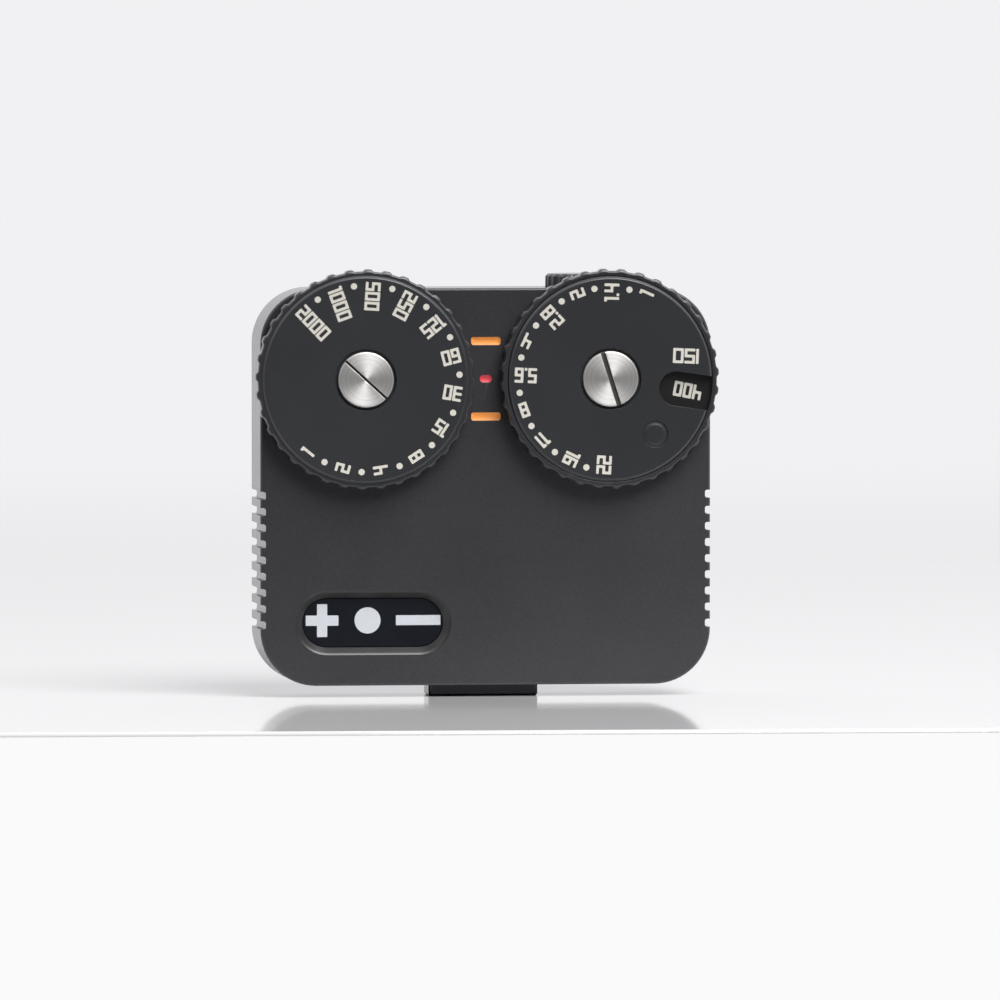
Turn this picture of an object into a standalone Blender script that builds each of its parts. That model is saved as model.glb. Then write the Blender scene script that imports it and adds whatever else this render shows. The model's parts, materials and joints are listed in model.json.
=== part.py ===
"""A clip-on light meter for a camera's accessory shoe, built as its separate pieces.

Metres, +Z up. X runs right and -Y is the face with the two dials. The meter stands on its sensor
window, as it does when it is set down on a table: the origin is the centre of that window's flat end.
In use the dial face looks up, the sensor window looks at the subject and the foot sits in the shoe.
"""

import math

import bmesh
import bpy
import numpy as np
from mathutils import Matrix, Vector

mm = 0.001

# Body and its walls
body_width = 42.0 * mm
body_height = 36.8 * mm
corner_radius = 5.2 * mm
edge_chamfer = 0.28 * mm
front_wall = 1.2 * mm
side_wall = 1.7 * mm
sensor_drop = 1.1 * mm

# Clearances
seat_gap = 0.1 * mm
turning_gap = 0.12 * mm
overrun = 1.0 * mm
weld_distance = 0.0001 * mm

# Grip notches in both sides
notch_count = 9
notch_pitch = 1.5 * mm
notch_height = 0.75 * mm
notch_depth = 0.5 * mm
notch_fillet = 0.2 * mm
lowest_notch_height = 5.64 * mm

# Dials
dial_spacing = 22.8 * mm
dial_drop = 8.4 * mm
dial_underside_gap = 0.3 * mm
dial_crest_radius = 10.2 * mm
knurl_height = 0.2 * mm
knurl_count = 36
knurl_ridge_share = 0.5
knurl_foot_share = 0.66
wheel_thickness = 0.85 * mm
scale_disc_step = 0.48 * mm
scale_disc_thickness = 0.75 * mm
scale_disc_chamfer = 0.34 * mm
counterbore_radius = 2.85 * mm
counterbore_depth = 0.4 * mm
shutter_knurl_angle = 8.3
aperture_knurl_angle = 3.6

# Window for the film speed, and the dimple that holds the scale disc still
speed_window_width = 3.2 * mm
speed_window_inner_end = 4.6 * mm
speed_window_angle = -8.5
dimple_distance = 6.3 * mm
dimple_angle = -51.0
dimple_radius = 1.0 * mm
dimple_depth = 0.25 * mm

# Dial screws
dial_screw_radius = 2.56 * mm
dial_screw_head = 0.6 * mm
dial_screw_shank_radius = 1.0 * mm
dial_screw_shank = 2.4 * mm
dial_screw_edge = 0.1 * mm
screw_slot_width = 0.5 * mm
screw_slot_depth = 0.28 * mm
shutter_slot_angle = 137.5
aperture_slot_angle = 107.4

# Spindles, bushes and washers
spindle_radius = 1.9 * mm
spindle_across_flats = 2.8 * mm
spindle_flange_radius = 2.9 * mm
spindle_flange = 0.5 * mm
spindle_tail_radius = 1.4 * mm
bush_radius = 2.5 * mm
bush_flange_radius = 3.3 * mm
bush_flange = 0.2 * mm
washer_inner_radius = 3.8 * mm
washer_width = 1.4 * mm
washer_thickness = 0.15 * mm
washer_wave = 0.05 * mm
washer_waves = 3

# Circuit board and what is on it
board_inset = 2.9 * mm
board_thickness = 0.6 * mm
board_screw_side_inset = 4.5 * mm
board_screw_side_rise = 19.5 * mm
board_screw_top_drop = 4.5 * mm
post_radius = 1.6 * mm
board_screw_hole_radius = 0.7 * mm
board_screw_bite = 0.4 * mm
encoder_wall = 1.0 * mm
encoder_thickness = 2.4 * mm
encoder_corner = 0.5 * mm
led_width = 1.6 * mm
led_height = 0.8 * mm
led_thickness = 0.3 * mm
controller_width = 4.0 * mm
controller_thickness = 0.8 * mm
controller_corner = 0.1 * mm
controller_contact_gap = 0.5 * mm
light_sensor_width = 1.6 * mm
light_sensor_height = 0.8 * mm
light_sensor_thickness = 0.65 * mm

# Status window and its bevelled pocket
status_length = 14.5 * mm
status_height = 5.95 * mm
status_bevel = 0.68 * mm
status_side_margin = 3.25 * mm
status_rise = 5.82 * mm
status_sink = 0.06 * mm
status_flange = 0.4 * mm
status_flange_width = 0.5 * mm
plus_share = -0.329
dot_share = -0.037
minus_share = 0.29

# Index grooves between the dials
index_length = 2.75 * mm
index_height = 0.75 * mm
index_step = 3.5 * mm
index_depth = 0.2 * mm
middle_index_length = 1.2 * mm
middle_index_height = 0.7 * mm
index_corner_share = 0.3

# Sensor window, on which the meter stands
sensor_width = 10.2 * mm
sensor_depth = 4.0 * mm
sensor_corner = 0.35 * mm
sensor_edge = 0.15 * mm
sensor_flange = 0.45 * mm
sensor_flange_width = 0.6 * mm

# Back cover
rebate_wall = 1.0 * mm
cover_thickness = 1.0 * mm
cover_edge = 0.15 * mm
corner_post_radius = 1.9 * mm
corner_post_inset = 3.4 * mm
corner_post_length = 3.6 * mm
cover_screw_radius = 1.3 * mm
cover_screw_head = 0.45 * mm
cover_screw_shank_radius = 0.7 * mm
cover_screw_length = 3.2 * mm
small_slot_width = 0.35 * mm
small_slot_depth = 0.2 * mm
small_screw_edge = 0.08 * mm

# Coin cell, its tray and contacts
cell_radius = 10.0 * mm
cell_thickness = 3.2 * mm
cell_cap_step = 1.2 * mm
cell_cap = 0.35 * mm
cell_edge = 0.3 * mm
contact_room = 0.5 * mm
tray_sensor_gap = 0.25 * mm
tray_wall = 0.6 * mm
tray_clearance = 0.3 * mm
tray_lip_width = 1.0 * mm
tray_lip = 0.3 * mm
contact_width = 3.0 * mm
contact_thickness = 0.15 * mm
contact_slot_margin = 0.3 * mm
negative_contact_length = 13.0 * mm
negative_contact_foot_share = 0.15
positive_contact_height_share = 0.84
positive_contact_foot = 1.6 * mm

# Battery door, a quarter-turn bayonet
door_flange_width = 0.8 * mm
door_flange = 0.5 * mm
door_cell_margin = 0.2 * mm
door_edge = 0.12 * mm
lug_reach = 1.1 * mm
lug_thickness = 0.3 * mm
lug_width = 4.0 * mm
lug_count = 3
lug_angle = 45.0
lug_entry_turn = -50.0
lug_entry_margin = 0.35 * mm
coin_slot_length = 13.0 * mm
coin_slot_width = 1.8 * mm
coin_slot_depth = 0.5 * mm

# Shoe foot and its screws
foot_width = 18.6 * mm
foot_thickness = 2.0 * mm
foot_door_gap = 0.8 * mm
foot_top_margin = 0.8 * mm
foot_corner = 1.2 * mm
foot_edge = 0.2 * mm
neck_width = 12.3 * mm
neck_depth = 1.6 * mm
neck_corner = 0.6 * mm
foot_screw_spacing = 8.4 * mm
foot_screw_radius = 1.75 * mm
foot_screw_shank_radius = 0.95 * mm
foot_screw_sink = 0.12 * mm
boss_radius = 1.8 * mm
boss_length = 1.0 * mm
foot_slot_width = 0.45 * mm
foot_slot_depth = 0.45 * mm

# Measuring button and its switch
button_inset = 11.75 * mm
button_radius = 3.2 * mm
button_proud = 1.25 * mm
button_travel = 0.5 * mm
button_clearance = 0.1 * mm
button_knurls = 22
button_knurl_height = 0.14 * mm
button_edge = 0.25 * mm
button_hollow_radius = 2.6 * mm
button_hollow = 0.8 * mm
stem_radius = 1.0 * mm
ledge_thickness = 0.85 * mm
clip_radius = 1.9 * mm
clip_thickness = 0.3 * mm
clip_mouth = 1.3 * mm
groove_depth = 0.25 * mm
spring_radius = 1.9 * mm
spring_wire = 0.16 * mm
spring_turns = 3.0
plunger_radius = 0.6 * mm
plunger_length = 1.0 * mm
switch_width = 3.2 * mm
switch_thickness = 2.0 * mm
switch_height = 1.3 * mm
switch_corner = 0.15 * mm

# Places worked out from the sizes above
lamp_room = seat_gap + status_flange + seat_gap + led_thickness + seat_gap
cell_cap_radius = cell_radius - cell_cap_step
cell_room = contact_room + cell_thickness + seat_gap + lug_thickness + seat_gap
body_depth = front_wall + lamp_room + board_thickness + cell_room + cover_thickness
body_bottom = sensor_drop
body_top = body_bottom + body_height
body_middle = (body_bottom + body_top) / 2
face_y = -body_depth / 2
back_y = body_depth / 2
cavity_front_y = face_y + front_wall
cover_seat_y = back_y - cover_thickness
dial_z = body_top - dial_drop
dial_x = dial_spacing / 2
scale_disc_radius = dial_crest_radius - scale_disc_step
wheel_back_y = face_y - dial_underside_gap
wheel_front_y = wheel_back_y - wheel_thickness
dial_face_y = wheel_front_y - seat_gap - scale_disc_thickness
board_front_y = cavity_front_y + lamp_room
board_back_y = board_front_y + board_thickness
cell_front_y = board_back_y + contact_room
cell_back_y = cell_front_y + cell_thickness
tray_radius = cell_radius + tray_clearance + tray_wall
sensor_flange_z = body_bottom + side_wall + seat_gap
cell_z = sensor_flange_z + sensor_flange + tray_sensor_gap + tray_radius
door_boss_radius = cell_radius + door_cell_margin
door_radius = door_boss_radius + door_flange_width
status_x = -body_width / 2 + status_side_margin + status_length / 2
status_z = body_bottom + status_rise
button_x = body_width / 2 - button_inset
controller_x = (tray_radius + body_width / 2 - side_wall) / 2
controller_z = cell_z - contact_width / 2 - controller_contact_gap - controller_width / 2
washer_outer_radius = washer_inner_radius + washer_width
washer_top = seat_gap + 2 * washer_wave + washer_thickness
spindle_head_y = face_y - dial_underside_gap - wheel_thickness + 2 * seat_gap
foot_low_z = cell_z + door_radius + foot_door_gap
foot_height = body_top - foot_top_margin - foot_low_z
foot_z = foot_low_z + foot_height / 2
neck_front_y = back_y + seat_gap
foot_front_y = neck_front_y + neck_depth
foot_back_y = foot_front_y + foot_thickness
ledge_bottom_z = body_top - side_wall
ledge_top_z = ledge_bottom_z + ledge_thickness
switch_top_z = ledge_bottom_z - 2 * button_travel - clip_thickness - 2 * seat_gap
stem_end_z = switch_top_z + button_travel + seat_gap
encoder_width = 2 * (spindle_tail_radius + encoder_wall)
round_steps = 64
door_steps = 42
middle_steps = 26
small_steps = 16


def empty_scene():
    """Removes every object that a new file starts with."""
    for old in list(bpy.data.objects):
        bpy.data.objects.remove(old)


empty_scene()
meter = bpy.data.collections.new("light_meter")
cutters = bpy.data.collections.new("cutters")
bpy.context.scene.collection.children.link(meter)
bpy.context.scene.collection.children.link(cutters)
cutters.hide_render = True


def material(name, colour, metallic, roughness):
    """A Principled material in the part's colour."""
    made = bpy.data.materials.new(name)
    made.use_nodes = True
    shader = made.node_tree.nodes["Principled BSDF"]
    shader.inputs["Base Color"].default_value = (*colour, 1)
    shader.inputs["Metallic"].default_value = metallic
    shader.inputs["Roughness"].default_value = roughness
    made.diffuse_color = (*colour, 1)
    return made


black_anodised = material("black_anodised_aluminium", (0.06, 0.061, 0.064), 0.4, 0.5)
dial_black = material("dial_black_anodised", (0.04, 0.041, 0.045), 0.4, 0.45)
turned_steel = material("turned_steel", (0.62, 0.61, 0.59), 1, 0.3)
spring_steel = material("spring_steel", (0.5, 0.5, 0.5), 1, 0.35)
brass = material("brass", (0.75, 0.58, 0.28), 1, 0.35)
black_acrylic = material("black_acrylic", (0.012, 0.012, 0.013), 0, 0.1)
black_plastic = material("black_plastic", (0.03, 0.03, 0.03), 0, 0.5)
board_green = material("board_green", (0.02, 0.12, 0.06), 0, 0.5)
red_lens = material("red_lens", (0.7, 0.05, 0.03), 0, 0.2)
cell_steel = material("cell_steel", (0.6, 0.6, 0.58), 1, 0.3)


def add(name, mesh, finish, matrix=None, group=None):
    """Puts a mesh into the scene as a named piece."""
    piece = bpy.data.objects.new(name, mesh)
    if matrix is not None:
        piece.matrix_world = matrix
    mesh.materials.clear()
    if finish is not None:
        mesh.materials.append(finish)
    (group or meter).objects.link(piece)
    if group is cutters:
        piece.hide_render = True
        piece.display_type = "WIRE"
    return piece


def welded(mesh):
    """Closes the loose caps of a filled curve and turns its faces outwards."""
    shape = bmesh.new()
    shape.from_mesh(mesh)
    bmesh.ops.remove_doubles(shape, verts=shape.verts, dist=weld_distance)
    bmesh.ops.recalc_face_normals(shape, faces=shape.faces)
    shape.to_mesh(mesh)
    shape.free()
    return mesh


def facing(axis, origin):
    """A matrix whose local Z points along axis: front (-Y), back (+Y) or up (+Z).

    Looking at the dial face, local X stays right and local Y up for a front matrix.
    """
    turns = {
        "front": Matrix(((1, 0, 0), (0, 0, -1), (0, 1, 0))),
        "back": Matrix(((-1, 0, 0), (0, 0, 1), (0, 1, 0))),
        "up": Matrix.Identity(3),
    }
    return Matrix.Translation(Vector(origin)) @ turns[axis].to_4x4()


def plate(name, outlines, low, high, matrix, finish=None, chamfer=0, group=None):
    """A flat outline, with any holes, filled from low to high along the matrix's Z.

    A chamfered outline is handed in already drawn in by the chamfer.
    """
    curve = bpy.data.curves.new(name, "CURVE")
    curve.dimensions = "2D"
    curve.fill_mode = "BOTH"
    curve.extrude = (high - low) / 2 - chamfer
    curve.bevel_depth = chamfer
    curve.bevel_resolution = 0
    for outline in outlines:
        spline = curve.splines.new("POLY")
        spline.points.add(len(outline) - 1)
        for point, (x, y) in zip(spline.points, outline):
            point.co = (x, y, 0, 1)
        spline.use_cyclic_u = True
    guide = bpy.data.objects.new(name, curve)
    cutters.objects.link(guide)
    bpy.context.view_layer.update()
    graph = bpy.context.evaluated_depsgraph_get()
    mesh = bpy.data.meshes.new_from_object(guide.evaluated_get(graph))
    bpy.data.objects.remove(guide)
    mesh.transform(Matrix.Translation((0, 0, (low + high) / 2)))
    return add(name, welded(mesh), finish, matrix, group)


def turned(name, profile, matrix, finish=None, steps=small_steps, group=None, ring=False):
    """A turned shape: a profile of (radius, height) points, run from top to bottom, and a Screw."""
    mesh = bpy.data.meshes.new(name)
    shape = bmesh.new()
    points = [shape.verts.new((radius, 0, height)) for radius, height in profile]
    for first, second in zip(points, points[1:]):
        shape.edges.new((first, second))
    if ring:
        shape.edges.new((points[-1], points[0]))
    shape.to_mesh(mesh)
    shape.free()
    piece = add(name, mesh, finish, matrix, group)
    screw = piece.modifiers.new("turn", "SCREW")
    screw.steps = screw.render_steps = steps
    screw.use_merge_vertices = True
    screw.merge_threshold = weld_distance
    screw.use_smooth_shade = False
    return piece


def boolean(piece, other, operation):
    """Cuts, joins or intersects with the exact solver, and bakes the result into the piece."""
    modifier = piece.modifiers.new(other.name, "BOOLEAN")
    modifier.operation = operation
    modifier.solver = "EXACT"
    modifier.object = other
    bpy.context.view_layer.update()
    graph = bpy.context.evaluated_depsgraph_get()
    mesh = bpy.data.meshes.new_from_object(piece.evaluated_get(graph))
    piece.modifiers.clear()
    piece.data = mesh
    bpy.data.objects.remove(other)
    return piece


def cut(piece, *others):
    for other in others:
        boolean(piece, other, "DIFFERENCE")
    return piece


def join(piece, *others):
    for other in others:
        boolean(piece, other, "UNION")
    return piece


def circle(radius, steps=small_steps, x=0.0, y=0.0):
    turns = np.arange(steps) * math.tau / steps
    return [(x + radius * math.cos(turn), y + radius * math.sin(turn)) for turn in turns]


def rounded(width, height, radius, x=0.0, y=0.0, steps=3):
    """A rectangle with round corners, counted anticlockwise."""
    points = []
    for corner, (side, end) in enumerate(((1, 1), (-1, 1), (-1, -1), (1, -1))):
        for step in range(steps + 1):
            turn = math.pi / 2 * (corner + step / steps)
            points.append(
                (
                    x + side * (width / 2 - radius) + radius * math.cos(turn),
                    y + end * (height / 2 - radius) + radius * math.sin(turn),
                )
            )
    return points


def pill(length, height, steps=10):
    """A slot outline with round ends."""
    radius = height / 2
    points = []
    for side, start in ((1, -math.pi / 2), (-1, math.pi / 2)):
        for step in range(steps + 1):
            turn = start + math.pi * step / steps
            points.append(
                (side * (length / 2 - radius) + radius * math.cos(turn), radius * math.sin(turn))
            )
    return points


def ridged(root, crest, count, first_angle=0.0):
    """A knurled outline: count flat-topped ridges, each with sloping flanks."""
    points = []
    for ridge in range(count):
        for share, radius in (
            (-knurl_foot_share / 2, root),
            (-knurl_ridge_share / 2, crest),
            (knurl_ridge_share / 2, crest),
            (knurl_foot_share / 2, root),
        ):
            turn = math.radians(first_angle) + math.tau * (ridge + share) / count
            points.append((radius * math.cos(turn), radius * math.sin(turn)))
    return points


def double_flat(radius, across_flats, steps=8):
    """A circle with two flats, left and right."""
    half = across_flats / 2
    reach = math.acos(half / radius)
    points = []
    for start in (reach, math.pi + reach):
        for step in range(steps + 1):
            turn = start + (math.pi - 2 * reach) * step / steps
            points.append((radius * math.cos(turn), radius * math.sin(turn)))
    return points


def body_outline(inset=0.0, steps=8):
    """The body's front outline, drawn in by inset, about the body's middle."""
    width, height = body_width - 2 * inset, body_height - 2 * inset
    return rounded(width, height, corner_radius - inset, steps=steps)


def front(x, z, y=0.0):
    """Looks along +Y: local X right, local Y up, local Z towards the viewer, from y."""
    return facing("front", (x, y, z))


def slot_bar(name, length, width, low, high, matrix, angle):
    """A straight cutter for a screwdriver slot, turned by angle in the matrix's plane."""
    turn = Matrix.Rotation(math.radians(angle), 4, "Z")
    outline = rounded(length, width, width * index_corner_share, steps=1)
    return plate(name, [outline], low, high, matrix @ turn, group=cutters)


def slotted_screw(
    name, x, z, seat_y, side, radius, head, shank_radius, shank, edge, slot, angle, steps=small_steps
):
    """A cheese-head screw whose head stands on seat_y and faces side, front or back."""
    width, depth = slot
    matrix = facing(side, (x, seat_y, z))
    screw = turned(
        name,
        [
            (0, head),
            (radius - edge, head),
            (radius, head - edge),
            (radius, 0),
            (shank_radius, 0),
            (shank_radius, -shank + edge),
            (shank_radius - edge, -shank),
            (0, -shank),
        ],
        matrix,
        turned_steel,
        steps=steps,
    )
    bar = slot_bar("slot", 2 * radius + overrun, width, head - depth, head + overrun, matrix, angle)
    return cut(screw, bar)


def in_body(point):
    """Local (x, height above the body's middle) to world X and Z."""
    return point[0], body_middle + point[1]


def corner_posts():
    """X and Z of the four posts that take the cover's screws."""
    x = body_width / 2 - corner_post_inset
    z = body_height / 2 - corner_post_inset
    return [in_body((side * x, end * z)) for side in (-1, 1) for end in (-1, 1)]


def board_posts():
    """X and Z of the three posts that the circuit board is screwed to."""
    side = body_width / 2 - board_screw_side_inset
    low = body_bottom + board_screw_side_rise
    return [(-side, low), (side, low), (0.0, body_top - board_screw_top_drop)]


def index_marks():
    """X, Z, length and height of the three grooves that the dials are read against."""
    return [
        (0, dial_z + index_step, index_length, index_height),
        (0, dial_z, middle_index_length, middle_index_height),
        (0, dial_z - index_step, index_length, index_height),
    ]


def housing():
    """The milled aluminium body: dial face, side walls, posts, bores, pockets and grip notches."""
    at = front(0, body_middle)
    shell = plate(
        "housing",
        [body_outline(edge_chamfer)],
        -back_y,
        -face_y,
        at,
        black_anodised,
        chamfer=edge_chamfer,
    )
    cavity = plate(
        "cavity",
        [body_outline(side_wall, 4)],
        -back_y - overrun,
        -cavity_front_y,
        at,
        group=cutters,
    )
    rebate = plate(
        "rebate",
        [body_outline(rebate_wall, 6)],
        -back_y - overrun,
        -cover_seat_y,
        at,
        group=cutters,
    )
    cut(shell, cavity)
    for x, z in corner_posts():
        post = plate(
            "post",
            [circle(corner_post_radius)],
            -back_y + cover_thickness / 2,
            -cover_seat_y + corner_post_length,
            front(x, z),
            group=cutters,
        )
        join(shell, post)
    cut(shell, rebate)
    for x, z in board_posts():
        post = plate(
            "post",
            [circle(post_radius)],
            -board_front_y + seat_gap,
            -cavity_front_y + front_wall / 2,
            front(x, z),
            group=cutters,
        )
        join(shell, post)
        hole = plate(
            "hole",
            [circle(board_screw_hole_radius)],
            -board_front_y - overrun,
            -cavity_front_y + board_screw_bite,
            front(x, z),
            group=cutters,
        )
        cut(shell, hole)
    for x, z in corner_posts():
        hole = plate(
            "hole",
            [circle(cover_screw_shank_radius + seat_gap)],
            -back_y,
            -cover_seat_y + cover_screw_length,
            front(x, z),
            group=cutters,
        )
        cut(shell, hole)
    for side in (-1, 1):
        bore = plate(
            "bore",
            [circle(bush_radius + seat_gap, middle_steps)],
            -cavity_front_y - overrun,
            -face_y + overrun,
            front(side * dial_x, dial_z),
            group=cutters,
        )
        cut(shell, bore)
    cut_status_pocket(shell)
    cut_index_grooves(shell)
    cut_sensor_slot(shell)
    cut_button_bore(shell)
    cut_notches(shell)
    return shell


def cut_status_pocket(shell):
    """The pill-shaped pocket: a 45 degree bevel from the face, then a straight hole."""
    at = front(status_x, status_z)
    bevel = plate(
        "bevel",
        [pill(status_length - 2 * status_bevel, status_height - 2 * status_bevel)],
        -face_y - status_bevel,
        -face_y + status_bevel + overrun,
        at,
        chamfer=status_bevel,
        group=cutters,
    )
    hole = plate(
        "hole",
        [pill(status_length - 2 * status_bevel, status_height - 2 * status_bevel)],
        -cavity_front_y - overrun,
        -face_y,
        at,
        group=cutters,
    )
    cut(shell, bevel, hole)


def cut_index_grooves(shell):
    for x, z, length, height in index_marks():
        groove = plate(
            "groove",
            [rounded(length, height, height * index_corner_share, steps=3)],
            -face_y - index_depth,
            -face_y + overrun,
            front(x, z),
            group=cutters,
        )
        cut(shell, groove)


def cut_sensor_slot(shell):
    """The slot through the bottom wall that the sensor window comes out of."""
    slot = plate(
        "slot",
        [
            rounded(
                sensor_width + 2 * seat_gap, sensor_depth + 2 * seat_gap, sensor_corner, steps=3
            )
        ],
        body_bottom - overrun,
        body_bottom + side_wall + overrun,
        facing("up", (0, 0, 0)),
        group=cutters,
    )
    cut(shell, slot)


def cut_button_bore(shell):
    """The counterbore for the button's cap and the hole for its stem, from the top."""
    at = facing("up", (button_x, 0, 0))
    cap = plate(
        "cap_bore",
        [circle(button_radius + button_clearance, middle_steps)],
        ledge_top_z,
        body_top + overrun,
        at,
        group=cutters,
    )
    stem = plate(
        "stem_bore",
        [circle(stem_radius + button_clearance)],
        ledge_bottom_z - overrun,
        body_top,
        at,
        group=cutters,
    )
    cut(shell, cap, stem)


def cut_notches(shell):
    """Nine grip notches down each side, through the whole depth."""
    reach = notch_depth + overrun
    for side in (-1, 1):
        for step in range(notch_count):
            z = body_bottom + lowest_notch_height + step * notch_pitch
            x = side * (body_width / 2 - notch_depth + reach / 2)
            notch = plate(
                "notch",
                [rounded(reach, notch_height, notch_fillet, steps=1)],
                -back_y - overrun,
                -face_y + overrun,
                front(x, z),
                group=cutters,
            )
            cut(shell, notch)


def back_cover():
    """The aluminium cover let into the back: screw seats, foot bosses and the battery opening."""
    low, high = -back_y, -cover_seat_y - seat_gap
    at = front(0, body_middle)
    inset = rebate_wall + seat_gap
    cover = plate(
        "back_cover",
        [body_outline(inset + cover_edge, 6)],
        low,
        high,
        at,
        black_anodised,
        chamfer=cover_edge,
    )
    for x in (-foot_screw_spacing / 2, foot_screw_spacing / 2):
        boss = plate(
            "boss", [circle(boss_radius)], low + cover_thickness / 2, high + boss_length, front(x, foot_z),
            group=cutters,
        )
        join(cover, boss)
        hole = plate(
            "hole",
            [circle(foot_screw_shank_radius + seat_gap)],
            low - overrun,
            high + boss_length + overrun,
            front(x, foot_z),
            group=cutters,
        )
        cut(cover, hole)
    for x, z in corner_posts():
        seat = plate(
            "seat",
            [circle(cover_screw_radius + seat_gap)],
            low - overrun,
            low + cover_screw_head + seat_gap,
            front(x, z),
            group=cutters,
        )
        hole = plate(
            "hole",
            [circle(cover_screw_shank_radius + seat_gap)],
            low - overrun,
            high + overrun,
            front(x, z),
            group=cutters,
        )
        cut(cover, seat, hole)
    step = plate(
        "step",
        [circle(door_radius + turning_gap, door_steps)],
        low - overrun,
        low + door_flange + seat_gap,
        front(0, cell_z),
        group=cutters,
    )
    opening = plate(
        "opening",
        [circle(door_boss_radius + turning_gap, door_steps)],
        low - overrun,
        high + overrun,
        front(0, cell_z),
        group=cutters,
    )
    cut(cover, step, opening)
    for turn in lug_turns(lug_entry_turn):
        entry = plate(
            "entry",
            [
                rounded(
                    door_boss_radius + lug_reach + lug_entry_margin,
                    lug_width + 2 * lug_entry_margin,
                    lug_entry_margin,
                    x=(door_boss_radius + lug_reach + lug_entry_margin) / 2,
                    steps=2,
                )
            ],
            low + door_flange,
            high + overrun,
            front(0, cell_z) @ turn,
            group=cutters,
        )
        cut(cover, entry)
    return cover


def lug_turns(extra=0.0):
    return [
        Matrix.Rotation(math.radians(lug_angle + extra) + math.tau * lug / lug_count, 4, "Z")
        for lug in range(lug_count)
    ]


def battery_door():
    """The coin-slotted door: a flange flush with the cover, a boss and three lugs under the cover."""
    at = front(0, cell_z)
    low = -back_y
    flange_top = low + door_flange
    lug_low = -cover_seat_y + seat_gap
    lug_high = lug_low + lug_thickness
    door = turned(
        "battery_door",
        [
            (0, lug_high),
            (door_boss_radius, lug_high),
            (door_boss_radius, flange_top),
            (door_radius, flange_top),
            (door_radius, low + door_edge),
            (door_radius - door_edge, low),
            (0, low),
        ],
        at,
        black_anodised,
        steps=door_steps,
    )
    for turn in lug_turns():
        lug = plate(
            "lug",
            [rounded(door_boss_radius + lug_reach, lug_width, lug_entry_margin,
                     x=(door_boss_radius + lug_reach) / 2, steps=2)],
            lug_low,
            lug_high,
            at @ turn,
            group=cutters,
        )
        join(door, lug)
    slot = plate(
        "slot",
        [pill(coin_slot_length, coin_slot_width, 6)],
        low - overrun,
        low + coin_slot_depth,
        at,
        group=cutters,
    )
    return cut(door, slot)


def cover_screws():
    seat_y = back_y - cover_screw_head
    for number, (x, z) in enumerate(corner_posts(), 1):
        slotted_screw(
            f"cover_screw_{number}", x, z, seat_y, "back", cover_screw_radius, cover_screw_head,
            cover_screw_shank_radius, cover_screw_length - cover_screw_head - seat_gap, small_screw_edge,
            (small_slot_width, small_slot_depth), shutter_slot_angle * number,
        )


def shoe_foot():
    """The foot that slides into a camera's accessory shoe: neck, plate and two countersunk holes."""
    at = front(0, foot_z)
    foot = plate(
        "shoe_foot",
        [rounded(foot_width - 2 * foot_edge, foot_height - 2 * foot_edge, foot_corner - foot_edge)],
        -foot_back_y,
        -foot_front_y,
        at,
        black_anodised,
        chamfer=foot_edge,
    )
    neck = plate(
        "neck",
        [rounded(neck_width, foot_height, neck_corner, steps=3)],
        -foot_front_y - foot_thickness / 2,
        -neck_front_y,
        at,
        group=cutters,
    )
    join(foot, neck)
    for x in (-foot_screw_spacing / 2, foot_screw_spacing / 2):
        sink = turned(
            "countersink",
            countersink_profile(),
            facing("back", (x, foot_back_y - foot_screw_sink, foot_z)),
            group=cutters,
        )
        cut(foot, sink)
    return foot


def foot_screw_length():
    """From the head's flat down to just short of the boss's end."""
    return foot_back_y - foot_screw_sink - cover_seat_y + boss_length / 2


def countersunk_profile():
    """A countersunk screw's outline about its head's flat, with a 45 degree cone to the shank."""
    return [
        (0, 0),
        (foot_screw_radius, 0),
        (foot_screw_shank_radius, foot_screw_shank_radius - foot_screw_radius),
        (foot_screw_shank_radius, -foot_screw_length()),
        (0, -foot_screw_length()),
    ]


def countersink_profile():
    """The hole for that screw: the same outline, seat_gap larger all round and open at both ends."""
    head = foot_screw_radius + seat_gap
    shank = foot_screw_shank_radius + seat_gap
    return [
        (0, overrun),
        (head, overrun),
        (head, -seat_gap),
        (shank, shank - head - seat_gap),
        (shank, -foot_screw_length() - overrun),
        (0, -foot_screw_length() - overrun),
    ]


def foot_screws():
    for number, x in enumerate((-foot_screw_spacing / 2, foot_screw_spacing / 2), 1):
        at = facing("back", (x, foot_back_y - foot_screw_sink, foot_z))
        screw = turned(f"shoe_foot_screw_{number}", countersunk_profile(), at, turned_steel)
        bar = slot_bar(
            "slot", 2 * foot_screw_radius + overrun, foot_slot_width, -foot_slot_depth, overrun, at,
            aperture_slot_angle * number,
        )
        cut(screw, bar)


def coin_cell():
    """A flat lithium cell: the can's flat end at the door, the smaller cap towards the dials."""
    turned(
        "coin_cell",
        [
            (0, -cell_front_y),
            (cell_cap_radius, -cell_front_y),
            (cell_cap_radius, -cell_front_y - cell_cap),
            (cell_radius - cell_edge, -cell_front_y - cell_cap),
            (cell_radius, -cell_front_y - cell_cap - cell_edge),
            (cell_radius, -cell_back_y + cell_edge),
            (cell_radius - cell_edge, -cell_back_y),
            (0, -cell_back_y),
        ],
        front(0, cell_z),
        cell_steel,
        steps=middle_steps,
    )


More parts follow.
